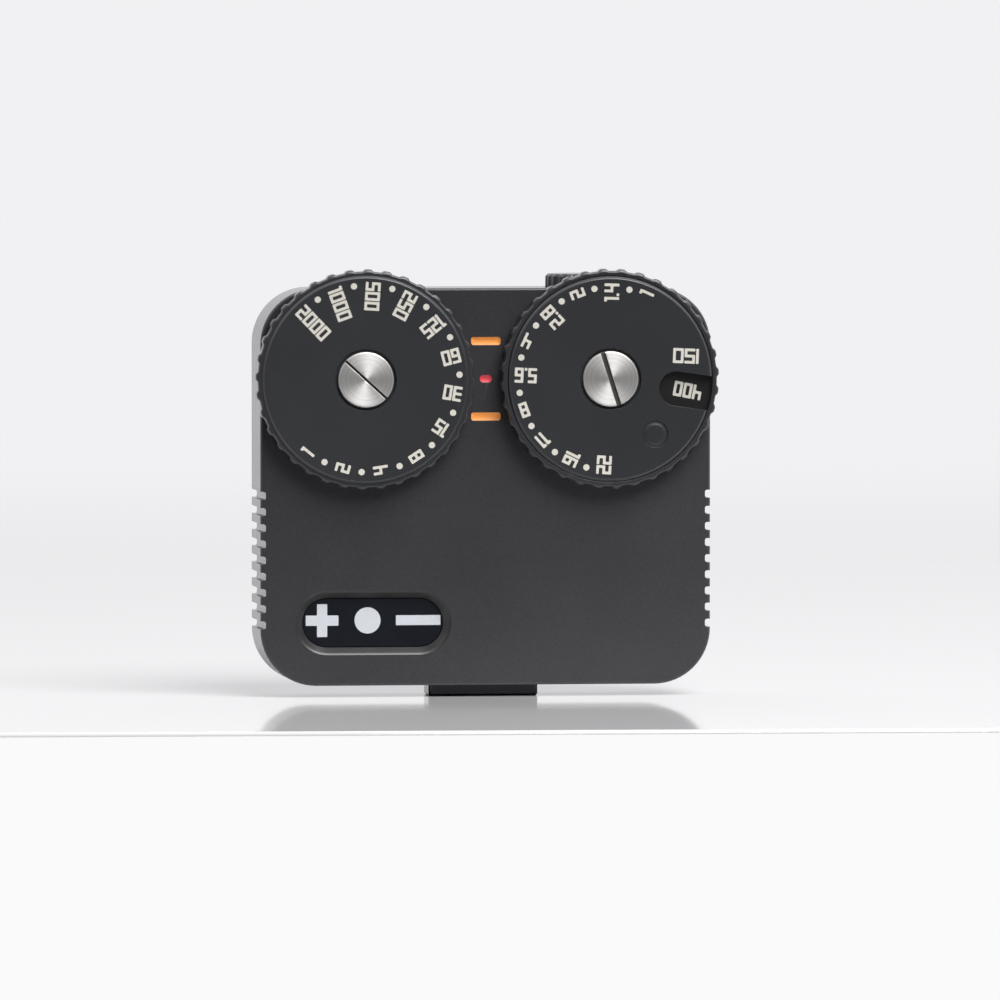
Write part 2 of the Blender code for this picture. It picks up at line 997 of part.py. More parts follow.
def battery_tray():
    """The plastic ring that keeps the cell off the metal, with a lip in front and one contact slot."""
    at = front(0, cell_z)
    inner = cell_radius + tray_clearance
    lip_front = -board_back_y - seat_gap
    lip_back = lip_front - tray_lip
    ring_back = -cell_back_y
    tray = turned(
        "battery_tray",
        [
            (inner - tray_lip_width, lip_front),
            (tray_radius, lip_front),
            (tray_radius, ring_back),
            (inner, ring_back),
            (inner, lip_back),
            (inner - tray_lip_width, lip_back),
        ],
        at,
        black_plastic,
        steps=middle_steps,
        ring=True,
    )
    slot_width = contact_width + 2 * contact_slot_margin
    slot = plate(
        "slot",
        [rounded(2 * tray_wall + 2 * overrun, slot_width, contact_slot_margin, x=inner, steps=1)],
        ring_back - overrun,
        lip_front + overrun,
        at,
        group=cutters,
    )
    return cut(tray, slot)


def strip(name, line, width, x, z, finish=brass):
    """A bent metal strip: a centre line of (x, y) points, thickened and made width tall.

    At a bend the edges move out along the mitre, so that the strip keeps its thickness.
    """
    line = [Vector(point) for point in line]
    outer, inner = [], []
    for index, point in enumerate(line):
        before = line[max(index - 1, 0)]
        after = line[min(index + 1, len(line) - 1)]
        along = (after - before).normalized()
        across = Vector((-along.y, along.x))
        stretch = 1.0
        if 0 < index < len(line) - 1:
            stretch = 1 / along.dot((after - point).normalized())
        outer.append(point + across * contact_thickness / 2 * stretch)
        inner.append(point - across * contact_thickness / 2 * stretch)
    outline = [tuple(point) for point in outer + inner[::-1]]
    return plate(name, [outline], -width / 2, width / 2, facing("up", (x, 0, z)), finish)


def battery_contacts():
    """The sprung strip under the cell's cap, and the upright strip at the can's side."""
    half = negative_contact_length / 2
    low = board_back_y + seat_gap + contact_thickness / 2
    high = cell_front_y - seat_gap - contact_thickness / 2
    flat = half * negative_contact_foot_share
    steps = 12
    line = [(-half, low)]
    for step in range(steps + 1):
        share = step / steps
        x = -half + flat + (2 * half - 2 * flat) * share
        line.append((x, low + (high - low) * math.sin(math.pi * share) ** 2))
    line.append((half, low))
    strip("battery_contact_negative", line, contact_width, 0, cell_z)
    x = cell_radius + seat_gap + contact_thickness / 2
    reach = cell_thickness * positive_contact_height_share
    line = [(x, low + reach), (x, low), (x + positive_contact_foot, low)]
    strip("battery_contact_positive", line, contact_width, 0, cell_z)


def circuit_board():
    """The one board that carries everything electric, with holes for the spindles and its screws."""
    holes = [
        circle(spindle_tail_radius + 2 * seat_gap, x=side * dial_x, y=dial_z - body_middle)
        for side in (-1, 1)
    ]
    for x, z in board_posts():
        holes.append(circle(board_screw_hole_radius + seat_gap, 16, x=x, y=z - body_middle))
    plate(
        "circuit_board",
        [body_outline(board_inset, 3)] + holes,
        -board_back_y,
        -board_front_y,
        front(0, body_middle),
        board_green,
    )


def board_screws():
    seat_y = board_back_y + seat_gap
    shank = board_thickness + board_front_y - cavity_front_y + board_screw_bite
    for number, (x, z) in enumerate(board_posts(), 1):
        slotted_screw(
            f"board_screw_{number}", x, z, seat_y, "back", cover_screw_radius, cover_screw_head,
            board_screw_hole_radius - seat_gap, shank, small_screw_edge,
            (small_slot_width, small_slot_depth), aperture_slot_angle * number,
        )


def block(name, width, height, corner, low, high, x, z, finish):
    """A moulded block seen from the front: rounded outline, low and high measured towards the viewer."""
    return plate(name, [rounded(width, height, corner, steps=2)], low, high, front(x, z), finish)


def electronics():
    """The three lamps, the controller chip and the light sensor."""
    lamp_low = -board_front_y + seat_gap
    for name, share in (
        ("led_plus", plus_share),
        ("led_dot", dot_share),
        ("led_minus", minus_share),
    ):
        block(
            name, led_width, led_height, controller_corner, lamp_low, lamp_low + led_thickness,
            status_x + share * status_length, status_z, red_lens,
        )
    chip_high = -board_back_y - seat_gap
    block(
        "controller_chip", controller_width, controller_width, controller_corner,
        chip_high - controller_thickness, chip_high, controller_x, controller_z, black_plastic,
    )
    sensor_z = body_bottom + board_inset + light_sensor_height / 2
    block(
        "light_sensor", light_sensor_width, light_sensor_height, controller_corner, lamp_low,
        lamp_low + light_sensor_thickness, 0, sensor_z, black_plastic,
    )


def status_window():
    """The smoked acrylic window behind the bevel, with a flange inside the front wall."""
    at = front(status_x, status_z)
    length = status_length - 2 * status_bevel
    height = status_height - 2 * status_bevel
    flange_high = -cavity_front_y - seat_gap
    window = plate(
        "status_window",
        [pill(length - 2 * seat_gap, height - 2 * seat_gap)],
        flange_high - status_flange / 2,
        -face_y - status_bevel - status_sink,
        at,
        black_acrylic,
    )
    flange = plate(
        "flange",
        [pill(length + 2 * status_flange_width, height + 2 * status_flange_width)],
        flange_high - status_flange,
        flange_high,
        at,
        group=cutters,
    )
    return join(window, flange)


def sensor_window():
    """The black window over the light sensor: it comes out of the bottom and the meter stands on it."""
    at = facing("up", (0, 0, 0))
    window = plate(
        "sensor_window",
        [
            rounded(
                sensor_width - 2 * sensor_edge,
                sensor_depth - 2 * sensor_edge,
                sensor_corner - sensor_edge,
                steps=3,
            )
        ],
        0,
        sensor_flange_z + sensor_flange,
        at,
        black_acrylic,
        chamfer=sensor_edge,
    )
    flange = plate(
        "flange",
        [
            rounded(
                sensor_width + 2 * sensor_flange_width,
                sensor_depth + 2 * sensor_flange_width,
                sensor_corner,
                steps=3,
            )
        ],
        sensor_flange_z,
        sensor_flange_z + sensor_flange,
        at,
        group=cutters,
    )
    return join(window, flange)


def knurled_wheel(name, x, first_angle, high):
    """A knurled disc with a spindle bore and a washer recess in its underside, up to high."""
    at = front(x, dial_z)
    low = -wheel_back_y
    root = dial_crest_radius - knurl_height
    wheel = plate(
        name,
        [ridged(root, dial_crest_radius, knurl_count, first_angle)],
        low,
        -wheel_front_y,
        at,
        dial_black,
    )
    if high > -wheel_front_y:
        top = turned(
            "top",
            [
                (0, high),
                (scale_disc_radius - scale_disc_chamfer, high),
                (scale_disc_radius, high - scale_disc_chamfer),
                (scale_disc_radius, low + wheel_thickness / 2),
                (0, low + wheel_thickness / 2),
            ],
            at,
            steps=round_steps,
            group=cutters,
        )
        join(wheel, top)
    recess = turned(
        "recess",
        [
            (washer_inner_radius - seat_gap, -face_y + washer_top + seat_gap),
            (washer_outer_radius + seat_gap, -face_y + washer_top + seat_gap),
            (washer_outer_radius + seat_gap, low - overrun),
            (washer_inner_radius - seat_gap, low - overrun),
        ],
        at,
        steps=middle_steps,
        group=cutters,
        ring=True,
    )
    return cut(wheel, recess)


def spindle_socket(at, low, high):
    return plate(
        "socket",
        [double_flat(spindle_radius + seat_gap, spindle_across_flats + 2 * seat_gap)],
        low,
        high,
        at,
        group=cutters,
    )


def screw_seat(at, top):
    """Counterbore for the screw's head and the hole for its shank, from the dial's face."""
    seat = plate(
        "seat", [circle(counterbore_radius, middle_steps)], top - counterbore_depth, top + overrun, at,
        group=cutters,
    )
    hole = plate(
        "hole", [circle(dial_screw_shank_radius + seat_gap)], top - counterbore_depth - overrun,
        top + overrun, at, group=cutters,
    )
    return seat, hole


def shutter_dial():
    """The left dial in one piece: knurled rim, raised scale face, socket for the spindle behind."""
    top = -dial_face_y
    dial = knurled_wheel("shutter_dial", -dial_x, shutter_knurl_angle, top)
    at = front(-dial_x, dial_z)
    cut(dial, spindle_socket(at, -wheel_back_y - overrun, -spindle_head_y + seat_gap))
    return cut(dial, *screw_seat(at, top))


def aperture_dial():
    """The right dial's knurled wheel, which carries the film speeds and turns the spindle."""
    dial = knurled_wheel("aperture_dial", dial_x, aperture_knurl_angle, -wheel_front_y)
    at = front(dial_x, dial_z)
    return cut(dial, spindle_socket(at, -wheel_back_y - overrun, -wheel_front_y + overrun))


def aperture_scale_disc():
    """The disc with the apertures, above the wheel: a radial window for the film speed and a dimple."""
    at = front(dial_x, dial_z)
    top = -dial_face_y
    low = -wheel_front_y + seat_gap
    disc = turned(
        "aperture_scale_disc",
        [
            (0, top),
            (scale_disc_radius - scale_disc_chamfer, top),
            (scale_disc_radius, top - scale_disc_chamfer),
            (scale_disc_radius, low),
            (0, low),
        ],
        at,
        dial_black,
        steps=round_steps,
    )
    reach = scale_disc_radius + overrun - speed_window_inner_end
    window = plate(
        "window",
        [
            [
                (x + speed_window_inner_end + reach / 2 + speed_window_width / 2, y)
                for x, y in pill(reach + speed_window_width, speed_window_width, 10)
            ]
        ],
        low - overrun,
        top + overrun,
        at @ Matrix.Rotation(math.radians(speed_window_angle), 4, "Z"),
        group=cutters,
    )
    turn = math.radians(dimple_angle)
    dimple = turned(
        "dimple",
        [
            (0, overrun),
            (dimple_radius, overrun),
            (dimple_radius, -dimple_depth / 2),
            (dimple_radius / 2, -dimple_depth),
            (0, -dimple_depth),
        ],
        at @ Matrix.Translation((dimple_distance * math.cos(turn), dimple_distance * math.sin(turn), top)),
        group=cutters,
    )
    return cut(disc, *screw_seat(at, top), window, dimple)


def dial_screws():
    seat_y = dial_face_y + counterbore_depth - seat_gap / 2
    for name, x, angle in (
        ("shutter_dial_screw", -dial_x, shutter_slot_angle),
        ("aperture_dial_screw", dial_x, aperture_slot_angle),
    ):
        slotted_screw(
            name, x, dial_z, seat_y, "front", dial_screw_radius, dial_screw_head,
            dial_screw_shank_radius, dial_screw_shank, dial_screw_edge,
            (screw_slot_width, screw_slot_depth), angle, middle_steps,
        )


def dial_train(name, x):
    """Behind each dial: the flatted spindle, its bush, the wave washer and the position sensor."""
    at = front(x, dial_z)
    flange_high = -cavity_front_y - seat_gap
    flange_low = flange_high - spindle_flange
    tail_low = -board_back_y - encoder_thickness / 2
    spindle = turned(
        f"{name}_spindle",
        [
            (0, -spindle_head_y),
            (spindle_radius, -spindle_head_y),
            (spindle_radius, flange_high),
            (spindle_flange_radius, flange_high),
            (spindle_flange_radius, flange_low),
            (spindle_tail_radius, flange_low),
            (spindle_tail_radius, tail_low),
            (0, tail_low),
        ],
        at,
        brass,
    )
    flats_low = -wheel_back_y - seat_gap
    for side in (-1, 1):
        flat = plate(
            "flat",
            [rounded(overrun, 2 * spindle_radius + overrun, seat_gap,
                     x=side * (spindle_across_flats + overrun) / 2, steps=1)],
            flats_low,
            -spindle_head_y + overrun,
            at,
            group=cutters,
        )
        cut(spindle, flat)
    thread = plate(
        "thread", [circle(dial_screw_shank_radius + seat_gap)],
        -dial_face_y - dial_screw_shank - counterbore_depth - seat_gap, -spindle_head_y + overrun, at,
        group=cutters,
    )
    cut(spindle, thread)
    turned(
        f"{name}_bush",
        [
            (spindle_radius + turning_gap, -face_y + bush_flange),
            (bush_flange_radius, -face_y + bush_flange),
            (bush_flange_radius, -face_y + seat_gap / 2),
            (bush_radius, -face_y + seat_gap / 2),
            (bush_radius, -cavity_front_y),
            (spindle_radius + turning_gap, -cavity_front_y),
        ],
        at,
        brass,
        ring=True,
    )
    wave_washer(f"{name}_wave_washer", at)
    encoder = block(
        f"{name}_encoder", encoder_width, encoder_width, encoder_corner,
        -board_back_y - seat_gap - encoder_thickness, -board_back_y - seat_gap, x, dial_z, black_plastic,
    )
    bore = plate(
        "bore", [circle(spindle_tail_radius + turning_gap)],
        tail_low - seat_gap, -board_back_y + overrun, at, group=cutters,
    )
    cut(encoder, bore)


def wave_washer(name, at):
    """A thin sprung ring whose height rises and falls three times round."""
    low = -face_y + seat_gap + washer_wave
    washer = turned(
        name,
        [
            (washer_inner_radius, low + washer_thickness),
            (washer_outer_radius, low + washer_thickness),
            (washer_outer_radius, low),
            (washer_inner_radius, low),
        ],
        at,
        spring_steel,
        steps=middle_steps,
        ring=True,
    )
    graph = bpy.context.evaluated_depsgraph_get()
    mesh = bpy.data.meshes.new_from_object(washer.evaluated_get(graph))
    washer.modifiers.clear()
    for point in mesh.vertices:
        turn = math.atan2(point.co.y, point.co.x)
        point.co.z += washer_wave * math.cos(washer_waves * turn)
    washer.data = mesh


def measuring_button():
    """The knurled cap on the top edge with its stem, hollow underneath for the spring."""
    at = facing("up", (button_x, 0, 0))
    cap_low = ledge_top_z + button_travel + button_clearance
    cap_high = body_top + button_proud
    cap = plate(
        "measuring_button",
        [ridged(button_radius - button_knurl_height, button_radius, button_knurls)],
        cap_low - overrun,
        cap_high + overrun,
        at,
        dial_black,
    )
    form = turned(
        "form",
        [
            (0, cap_high),
            (button_radius - button_edge, cap_high),
            (button_radius + button_edge, cap_high - 2 * button_edge),
            (button_radius + button_edge, cap_low),
            (0, cap_low),
        ],
        at,
        steps=middle_steps,
        group=cutters,
    )
    boolean(cap, form, "INTERSECT")
    hollow = plate(
        "hollow", [circle(button_hollow_radius)], cap_low - overrun, cap_low + button_hollow, at,
        group=cutters,
    )
    cut(cap, hollow)
    groove_top = ledge_bottom_z - seat_gap
    groove_low = groove_top - clip_thickness - seat_gap
    stem = turned(
        "stem",
        [
            (0, cap_high - button_edge * 2),
            (stem_radius, cap_high - button_edge * 2),
            (stem_radius, groove_top),
            (stem_radius - groove_depth, groove_top),
            (stem_radius - groove_depth, groove_low),
            (stem_radius, groove_low),
            (stem_radius, stem_end_z),
            (0, stem_end_z),
        ],
        at,
        group=cutters,
    )
    return join(cap, stem)


def button_clip():
    """The open ring in the stem's groove that keeps the button in."""
    at = facing("up", (button_x, 0, 0))
    top = ledge_bottom_z - seat_gap * 1.5
    inner = stem_radius - groove_depth + seat_gap / 2
    clip = plate(
        "button_clip",
        [circle(clip_radius), circle(inner)],
        top - clip_thickness,
        top,
        at,
        spring_steel,
    )
    mouth = plate(
        "mouth", [rounded(2 * clip_radius, clip_mouth, seat_gap, x=clip_radius, steps=1)],
        top - clip_thickness - overrun, top + overrun, at, group=cutters,
    )
    return cut(clip, mouth)


def button_spring():
    """A coil round the stem, between the ledge and the inside of the cap."""
    low = ledge_top_z + seat_gap / 2 + spring_wire
    cap_low = ledge_top_z + button_travel + button_clearance
    high = cap_low + button_hollow - seat_gap / 2 - spring_wire
    curve = bpy.data.curves.new("button_spring", "CURVE")
    curve.dimensions = "3D"
    curve.bevel_depth = spring_wire
    curve.bevel_resolution = 0
    curve.use_fill_caps = True
    spline = curve.splines.new("POLY")
    count = round(spring_turns * small_steps / 2) + 1
    spline.points.add(count - 1)
    for index, point in enumerate(spline.points):
        share = index / (count - 1)
        turn = math.tau * spring_turns * share
        point.co = (
            spring_radius * math.cos(turn),
            spring_radius * math.sin(turn),
            low + (high - low) * share,
            1,
        )
    guide = bpy.data.objects.new("guide", curve)
    cutters.objects.link(guide)
    bpy.context.view_layer.update()
    graph = bpy.context.evaluated_depsgraph_get()
    mesh = bpy.data.meshes.new_from_object(guide.evaluated_get(graph))
    bpy.data.objects.remove(guide)
    add("button_spring", welded(mesh), spring_steel, facing("up", (button_x, 0, 0)))


def measuring_switch():
    """The low switch under the button, with its own plunger that the stem pushes."""
    at = facing("up", (button_x, 0, 0))
    switch = plate(
        "measuring_switch",
        [rounded(switch_width, switch_thickness, switch_corner, steps=2)],
        switch_top_z - switch_height,
        switch_top_z,
        at,
        black_plastic,
    )
    plunger_high = stem_end_z - seat_gap
    plunger_low = plunger_high - plunger_length
    well = plate(
        "well", [circle(plunger_radius + seat_gap)], plunger_low - button_travel - seat_gap / 2,
        switch_top_z + overrun, at, group=cutters,
    )
    cut(switch, well)
    plate("switch_plunger", [circle(plunger_radius)], plunger_low, plunger_high, at, red_lens)


def smooth_round_pieces():
    """Shades every face smooth and keeps edges over 30 degrees sharp."""
    graph = bpy.context.evaluated_depsgraph_get()
    for piece in meter.objects:
        if piece.modifiers:
            mesh = bpy.data.meshes.new_from_object(piece.evaluated_get(graph))
            piece.modifiers.clear()
            piece.data = mesh
        piece.data.shade_smooth()
        piece.data.set_sharp_from_angle(angle=math.radians(30))


housing()
back_cover()
cover_screws()
shoe_foot()
foot_screws()
battery_door()
coin_cell()
battery_tray()
battery_contacts()
circuit_board()
board_screws()
electronics()
status_window()
sensor_window()
shutter_dial()
aperture_dial()
aperture_scale_disc()
dial_screws()
dial_train("shutter", -dial_x)
dial_train("aperture", dial_x)
measuring_button()
button_clip()
button_spring()
measuring_switch()
smooth_round_pieces()
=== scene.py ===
"""The looks of a clip-on light meter: its finishes, numerals and fine surfaces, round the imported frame.

Metres, +Z up. The face with the two dials looks along -Y and the meter stands on its sensor window.
"""

import json
import math

import bmesh
import bpy
import numpy as np
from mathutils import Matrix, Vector

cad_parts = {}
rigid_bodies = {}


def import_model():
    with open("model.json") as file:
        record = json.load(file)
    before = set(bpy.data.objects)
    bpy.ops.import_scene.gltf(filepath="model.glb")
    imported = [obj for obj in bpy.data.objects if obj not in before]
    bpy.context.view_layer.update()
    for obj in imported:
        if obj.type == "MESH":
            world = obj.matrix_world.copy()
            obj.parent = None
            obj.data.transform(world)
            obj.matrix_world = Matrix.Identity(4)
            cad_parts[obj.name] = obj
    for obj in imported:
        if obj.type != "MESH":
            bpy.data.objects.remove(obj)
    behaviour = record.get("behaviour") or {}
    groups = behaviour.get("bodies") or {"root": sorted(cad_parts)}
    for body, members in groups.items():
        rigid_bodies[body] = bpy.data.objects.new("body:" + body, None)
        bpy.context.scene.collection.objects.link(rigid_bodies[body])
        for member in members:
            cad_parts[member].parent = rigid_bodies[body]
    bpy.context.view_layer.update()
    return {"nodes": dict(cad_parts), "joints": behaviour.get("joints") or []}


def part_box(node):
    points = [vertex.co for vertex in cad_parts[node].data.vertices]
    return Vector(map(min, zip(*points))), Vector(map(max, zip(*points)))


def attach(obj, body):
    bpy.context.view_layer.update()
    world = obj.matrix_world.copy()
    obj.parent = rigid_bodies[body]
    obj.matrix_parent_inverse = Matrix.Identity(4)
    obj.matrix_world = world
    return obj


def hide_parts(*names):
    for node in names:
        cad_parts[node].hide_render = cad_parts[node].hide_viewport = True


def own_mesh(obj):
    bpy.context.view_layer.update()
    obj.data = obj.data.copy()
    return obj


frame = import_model()
mm = 0.001

for old in list(bpy.data.objects):
    if old.type in {"CAMERA", "LIGHT"} or old.name == "Cube":
        bpy.data.objects.remove(old)


# The camera stands 1.2 m off, a little to the left and just above the table, with a long lens,
# which keeps the two dials round.
camera_distance = 1200 * mm
camera_yaw = math.radians(7.1)
camera_rise = math.radians(2.27)
sensor_width = 36 * mm
photo_width = 1000
pixels_per_metre = 10755
aim_height = 18.1 * mm
aim_sideways = 1.8 * mm
nearest_seen = 12 * mm
farthest_seen = 24000 * mm

across, ahead = math.sin(camera_yaw), math.cos(camera_yaw)
level = math.cos(camera_rise)
to_camera = Vector((-across * level, -ahead * level, math.sin(camera_rise)))
camera_right = Vector((ahead, -across, 0))
camera_up = to_camera.cross(camera_right)
camera_aim = Vector((0, 0, aim_height)) + aim_sideways * camera_right
camera = bpy.data.objects.new("camera", bpy.data.cameras.new("camera"))
camera.data.sensor_width = sensor_width / mm
camera.data.lens = pixels_per_metre * camera_distance / photo_width * sensor_width / mm
camera.data.clip_start = nearest_seen
camera.data.clip_end = farthest_seen
camera.location = camera_aim + camera_distance * to_camera
camera.rotation_euler = to_camera.to_track_quat("Z", "Y").to_euler()
bpy.context.scene.collection.objects.link(camera)
bpy.context.scene.camera = camera


# The light is a pale studio: a white backdrop behind and at the sides, a dimmer room in front, and
# one large softbox high above the meter, which throws the dials' shadows down the face.
pale = "F1F0F2"
front_gloss = 0.13
overhead_gloss = 1.0
front_ambient = 0.03
back_ambient = 0.6
gloss_depth = (-0.9, 0.1)
gloss_height = (0.1, 0.8)
ambient_depth = (0.0, 0.7)
softbox_size = 0.7
softbox_power = 14.1
softbox_place = Vector((0.3, -0.6, 0.8))


def linear(hex_colour):
    """An sRGB hex colour as linear RGBA: each channel c is c / 12.92 up to 0.04045, and above that
    (c + 0.055) / 1.055 to the power 2.4."""
    srgb = np.array([int(hex_colour[i : i + 2], 16) for i in (0, 2, 4)]) / 255
    low, high = srgb / 12.92, ((srgb + 0.055) / 1.055) ** 2.4
    return (*np.where(srgb <= 0.04045, low, high).tolist(), 1.0)


def feed(node, inputs):
    """Gives a shader node its inputs, by name or in the node's own order. Each is a value, an output,
    or a node that stands for its first output."""
    named = inputs if isinstance(inputs, dict) else dict(enumerate(inputs))
    for name, value in named.items():
        value = value.outputs[0] if isinstance(value, bpy.types.Node) else value
        if isinstance(value, bpy.types.NodeSocket):
            node.id_data.links.new(value, node.inputs[name])
        else:
            node.inputs[name].default_value = value
    return node


def add_node(tree, kind, inputs=(), **settings):
    """Adds a shader node with its inputs. Each setting is a property of it."""
    node = tree.nodes.new("ShaderNode" + kind)
    for name, value in settings.items():
        setattr(node, name, value)
    return feed(node, inputs)


def studio():
    """The camera sees the plain backdrop all round. Gloss and glass see it behind and at the sides,
    dimmer in front and brighter overhead, by smooth steps of the direction. Matt surfaces get a
    share of it, most from behind."""
    world = bpy.data.worlds.new("studio")
    world.use_nodes = True
    tree = world.node_tree
    tree.nodes.clear()
    smooth = {"interpolation_type": "SMOOTHSTEP"}
    way = add_node(tree, "TexCoord")
    parts = add_node(tree, "SeparateXYZ", {"Vector": way.outputs["Generated"]})
    y, z = parts.outputs["Y"], parts.outputs["Z"]
    depth = add_node(tree, "MapRange", (y, *gloss_depth, front_gloss, 1.0), **smooth)
    height = add_node(tree, "MapRange", (z, *gloss_height, 0.0, overhead_gloss - front_gloss), **smooth)
    room = add_node(tree, "Math", (depth, height), operation="ADD")
    share = add_node(tree, "MapRange", (y, *ambient_depth, front_ambient, back_ambient), **smooth)
    matt = add_node(tree, "Math", (room, share), operation="MULTIPLY")
    rays = add_node(tree, "LightPath")
    sharp_rays = (rays.outputs["Is Glossy Ray"], rays.outputs["Is Transmission Ray"])
    reflected = add_node(tree, "Math", sharp_rays, operation="MAXIMUM")
    lit = add_node(tree, "Mix", {0: reflected, 2: matt, 3: room})
    shown = add_node(tree, "Mix", {0: rays.outputs["Is Camera Ray"], 2: lit, 3: 1.0})
    sky = add_node(tree, "Background", {"Color": linear(pale), "Strength": shown})
    add_node(tree, "OutputWorld", {"Surface": sky})
    return world


bpy.context.scene.world = studio()
bpy.context.scene.view_settings.view_transform = "Standard"
softbox = bpy.data.objects.new("softbox", bpy.data.lights.new("softbox", "AREA"))
softbox.data.size = softbox_size
softbox.data.energy = softbox_power
softbox.location = softbox_place
softbox.rotation_euler = (softbox_place - camera_aim).to_track_quat("Z", "Y").to_euler()
bpy.context.scene.collection.objects.link(softbox)


# The table is a slab of white laminate with a satin gloss. The meter stands near its front edge,
# which two pixels of the photograph place. The camera sees its front face as plain white.
table_edge_left = (85, 732.6)
table_edge_right = (965, 728.3)
table_edge_radius = 0.4 * mm
table_edge_points = 7
table_thickness = 400 * mm
table_depth = 2000 * mm
table_reach = 1500 * mm
table_fade = (150 * mm, 600 * mm)
laminate = "EDEDEE"
front_white = "FAFAFA"
laminate_ior = 1.45
gloss_share = 0.86
laminate_roughness = 0.06


def on_table(column, row):
    """Where the camera's ray through a pixel of the photograph meets the table, at height zero."""
    across = (column - photo_width / 2) / pixels_per_metre
    down = (row - photo_width / 2) / pixels_per_metre
    ray = across * camera_right - down * camera_up - camera_distance * to_camera
    return camera.location - ray * camera.location.z / ray.z


def surface(name, rings, closed=False):
    """Four-sided faces between neighbouring rings of points. A closed surface joins its last ring to
    its first, and an open one gets a flat cap at each end."""
    rows, count = rings.shape[:2]
    row = np.arange(rows if closed else rows - 1)[:, None]
    column = np.arange(count)[None, :]
    above, beside = (row + 1) % rows, (column + 1) % count
    corners = (row * count + column, row * count + beside, above * count + beside, above * count + column)
    faces = np.stack(np.broadcast_arrays(*corners), -1).reshape(-1, 4).tolist()
    if not closed:
        faces += [np.arange(count)[::-1].tolist(), np.arange((rows - 1) * count, rows * count).tolist()]
    mesh = bpy.data.meshes.new(name)
    mesh.from_pydata(rings.reshape(-1, 3).tolist(), [], faces)
    piece = bpy.data.objects.new(name, mesh)
    bpy.context.scene.collection.objects.link(piece)
    return piece


def white_laminate():
    """Laminate is matt white under a clear skin: a mirror at a low angle, from Fresnel, and white else.
    Far behind the meter it fades into the backdrop."""
    made = bpy.data.materials.new("white_laminate")
    made.use_nodes = True
    tree = made.node_tree
    tree.nodes.clear()
    rays = add_node(tree, "LightPath")
    place = add_node(tree, "TexCoord")
    parts = add_node(tree, "SeparateXYZ", {"Vector": place.outputs["Object"]})
    matt = add_node(tree, "BsdfDiffuse", {"Color": linear(laminate)})
    skin = add_node(tree, "BsdfAnisotropic", {"Color": (1, 1, 1, 1), "Roughness": laminate_roughness})
    fresnel = add_node(tree, "Fresnel", {"IOR": laminate_ior})
    share = add_node(tree, "Math", (fresnel, gloss_share), operation="MULTIPLY")
    top = add_node(tree, "MixShader", (share, matt, skin))
    face = add_node(tree, "Emission", {"Color": linear(front_white)})
    below = add_node(tree, "Math", (parts.outputs["Z"], -table_edge_radius), operation="LESS_THAN")
    front = add_node(tree, "Math", (below, rays.outputs["Is Camera Ray"]), operation="MULTIPLY")
    slab = add_node(tree, "MixShader", (front, top, face))
    far = (parts.outputs["Y"], *table_fade)
    fade = add_node(tree, "MapRange", far, interpolation_type="SMOOTHSTEP")
    clear = add_node(tree, "BsdfTransparent")
    mixed = add_node(tree, "MixShader", (fade, slab, clear))
    add_node(tree, "OutputMaterial", {"Surface": mixed})
    return made


def table_slab():
    """A profile of depth and height, round at the front edge, carried along that edge."""
    left, right = np.array(on_table(*table_edge_left)), np.array(on_table(*table_edge_right))
    along = (right - left) / np.linalg.norm(right - left)
    inward = np.array((-along[1], along[0], 0))
    turn = np.linspace(0, math.pi / 2, table_edge_points)
    depth = np.concatenate(([0], table_edge_radius * (1 - np.cos(turn)), [table_depth, table_depth]))
    edge_height = table_edge_radius * (np.sin(turn) - 1)
    height = np.concatenate(([-table_thickness], edge_height, [0, -table_thickness]))
    profile = left + depth[:, None] * inward + height[:, None] * np.array((0, 0, 1))
    rings = profile[None] + np.array((table_reach, -table_reach))[:, None, None] * along
    slab = surface("table", rings)
    slab.data.materials.append(white_laminate())
    return slab


table_slab()


# The housing is milled from one block of aluminium, bead-blasted and dyed black when it is anodised.
# The blasting leaves a fine matt grain, and the milled outer edge has a narrow chamfer.
corner_radius = 5.2 * mm
edge_chamfer = 0.16 * mm
edge_softness = 0.05 * mm
front_wall = 1.2 * mm
side_wall = 1.7 * mm
seat_gap = 0.1 * mm
overrun = 1.0 * mm
rebate_wall = 1.0 * mm
cover_thickness = 1.0 * mm
post_radius = 1.6 * mm
corner_post_radius = 1.9 * mm
corner_post_length = 3.6 * mm
cover_screws = range(1, 5)
board_screws = range(1, 4)
cover_hole_radius = 0.8 * mm
board_hole_radius = 0.7 * mm
hole_depth = 3.2 * mm
board_hole_wall = 0.8 * mm
bush_radius = 2.5 * mm
notch_count = 9
notch_pitch = 1.5 * mm
notch_height = 0.75 * mm
notch_depth = 0.5 * mm
notch_fillet = 0.2 * mm
lowest_notch = 5.64 * mm
pocket_bevel = 0.68 * mm
pocket_inset = 0.06 * mm
pocket_lip = 0.2 * mm
lip_rise = 0.02 * mm
lip_rows = 6
pocket_length = 14.5 * mm
pocket_height = 5.95 * mm
pocket_from_side = 3.25 * mm
pocket_rise = 5.82 * mm
index_length = 2.75 * mm
index_height = 0.75 * mm
middle_index_length = 1.14 * mm
middle_index_height = 0.7 * mm
index_step = 3.5 * mm
index_depth = 0.3 * mm
index_corner_share = 0.3
middle_index_corner_share = 0.49
ledge_depth = 0.85 * mm
stem_radius = 1.0 * mm
sensor_length = 10.2 * mm
sensor_depth = 4.0 * mm
sensor_corner = 0.35 * mm
least_radius_share = 0.04
most_side_share = 0.45
hair = 0.002 * mm
weld_distance = 0.0003 * mm
flat_angle = math.radians(0.05)
flat_cosine = math.cos(flat_angle)
flats_weight = 100
blast_grain = 0.14 * mm
blast_depth = 0.004 * mm
grain_detail = 3.0
grain_roughness = 0.6
grain_tone = (0.85, 1.15)
cloud_size = 9 * mm
cloud_detail = 2.0
cloud_tone = (0.93, 1.07)
cloud_gloss = 0.03
noise_range = (0.3, 0.7)
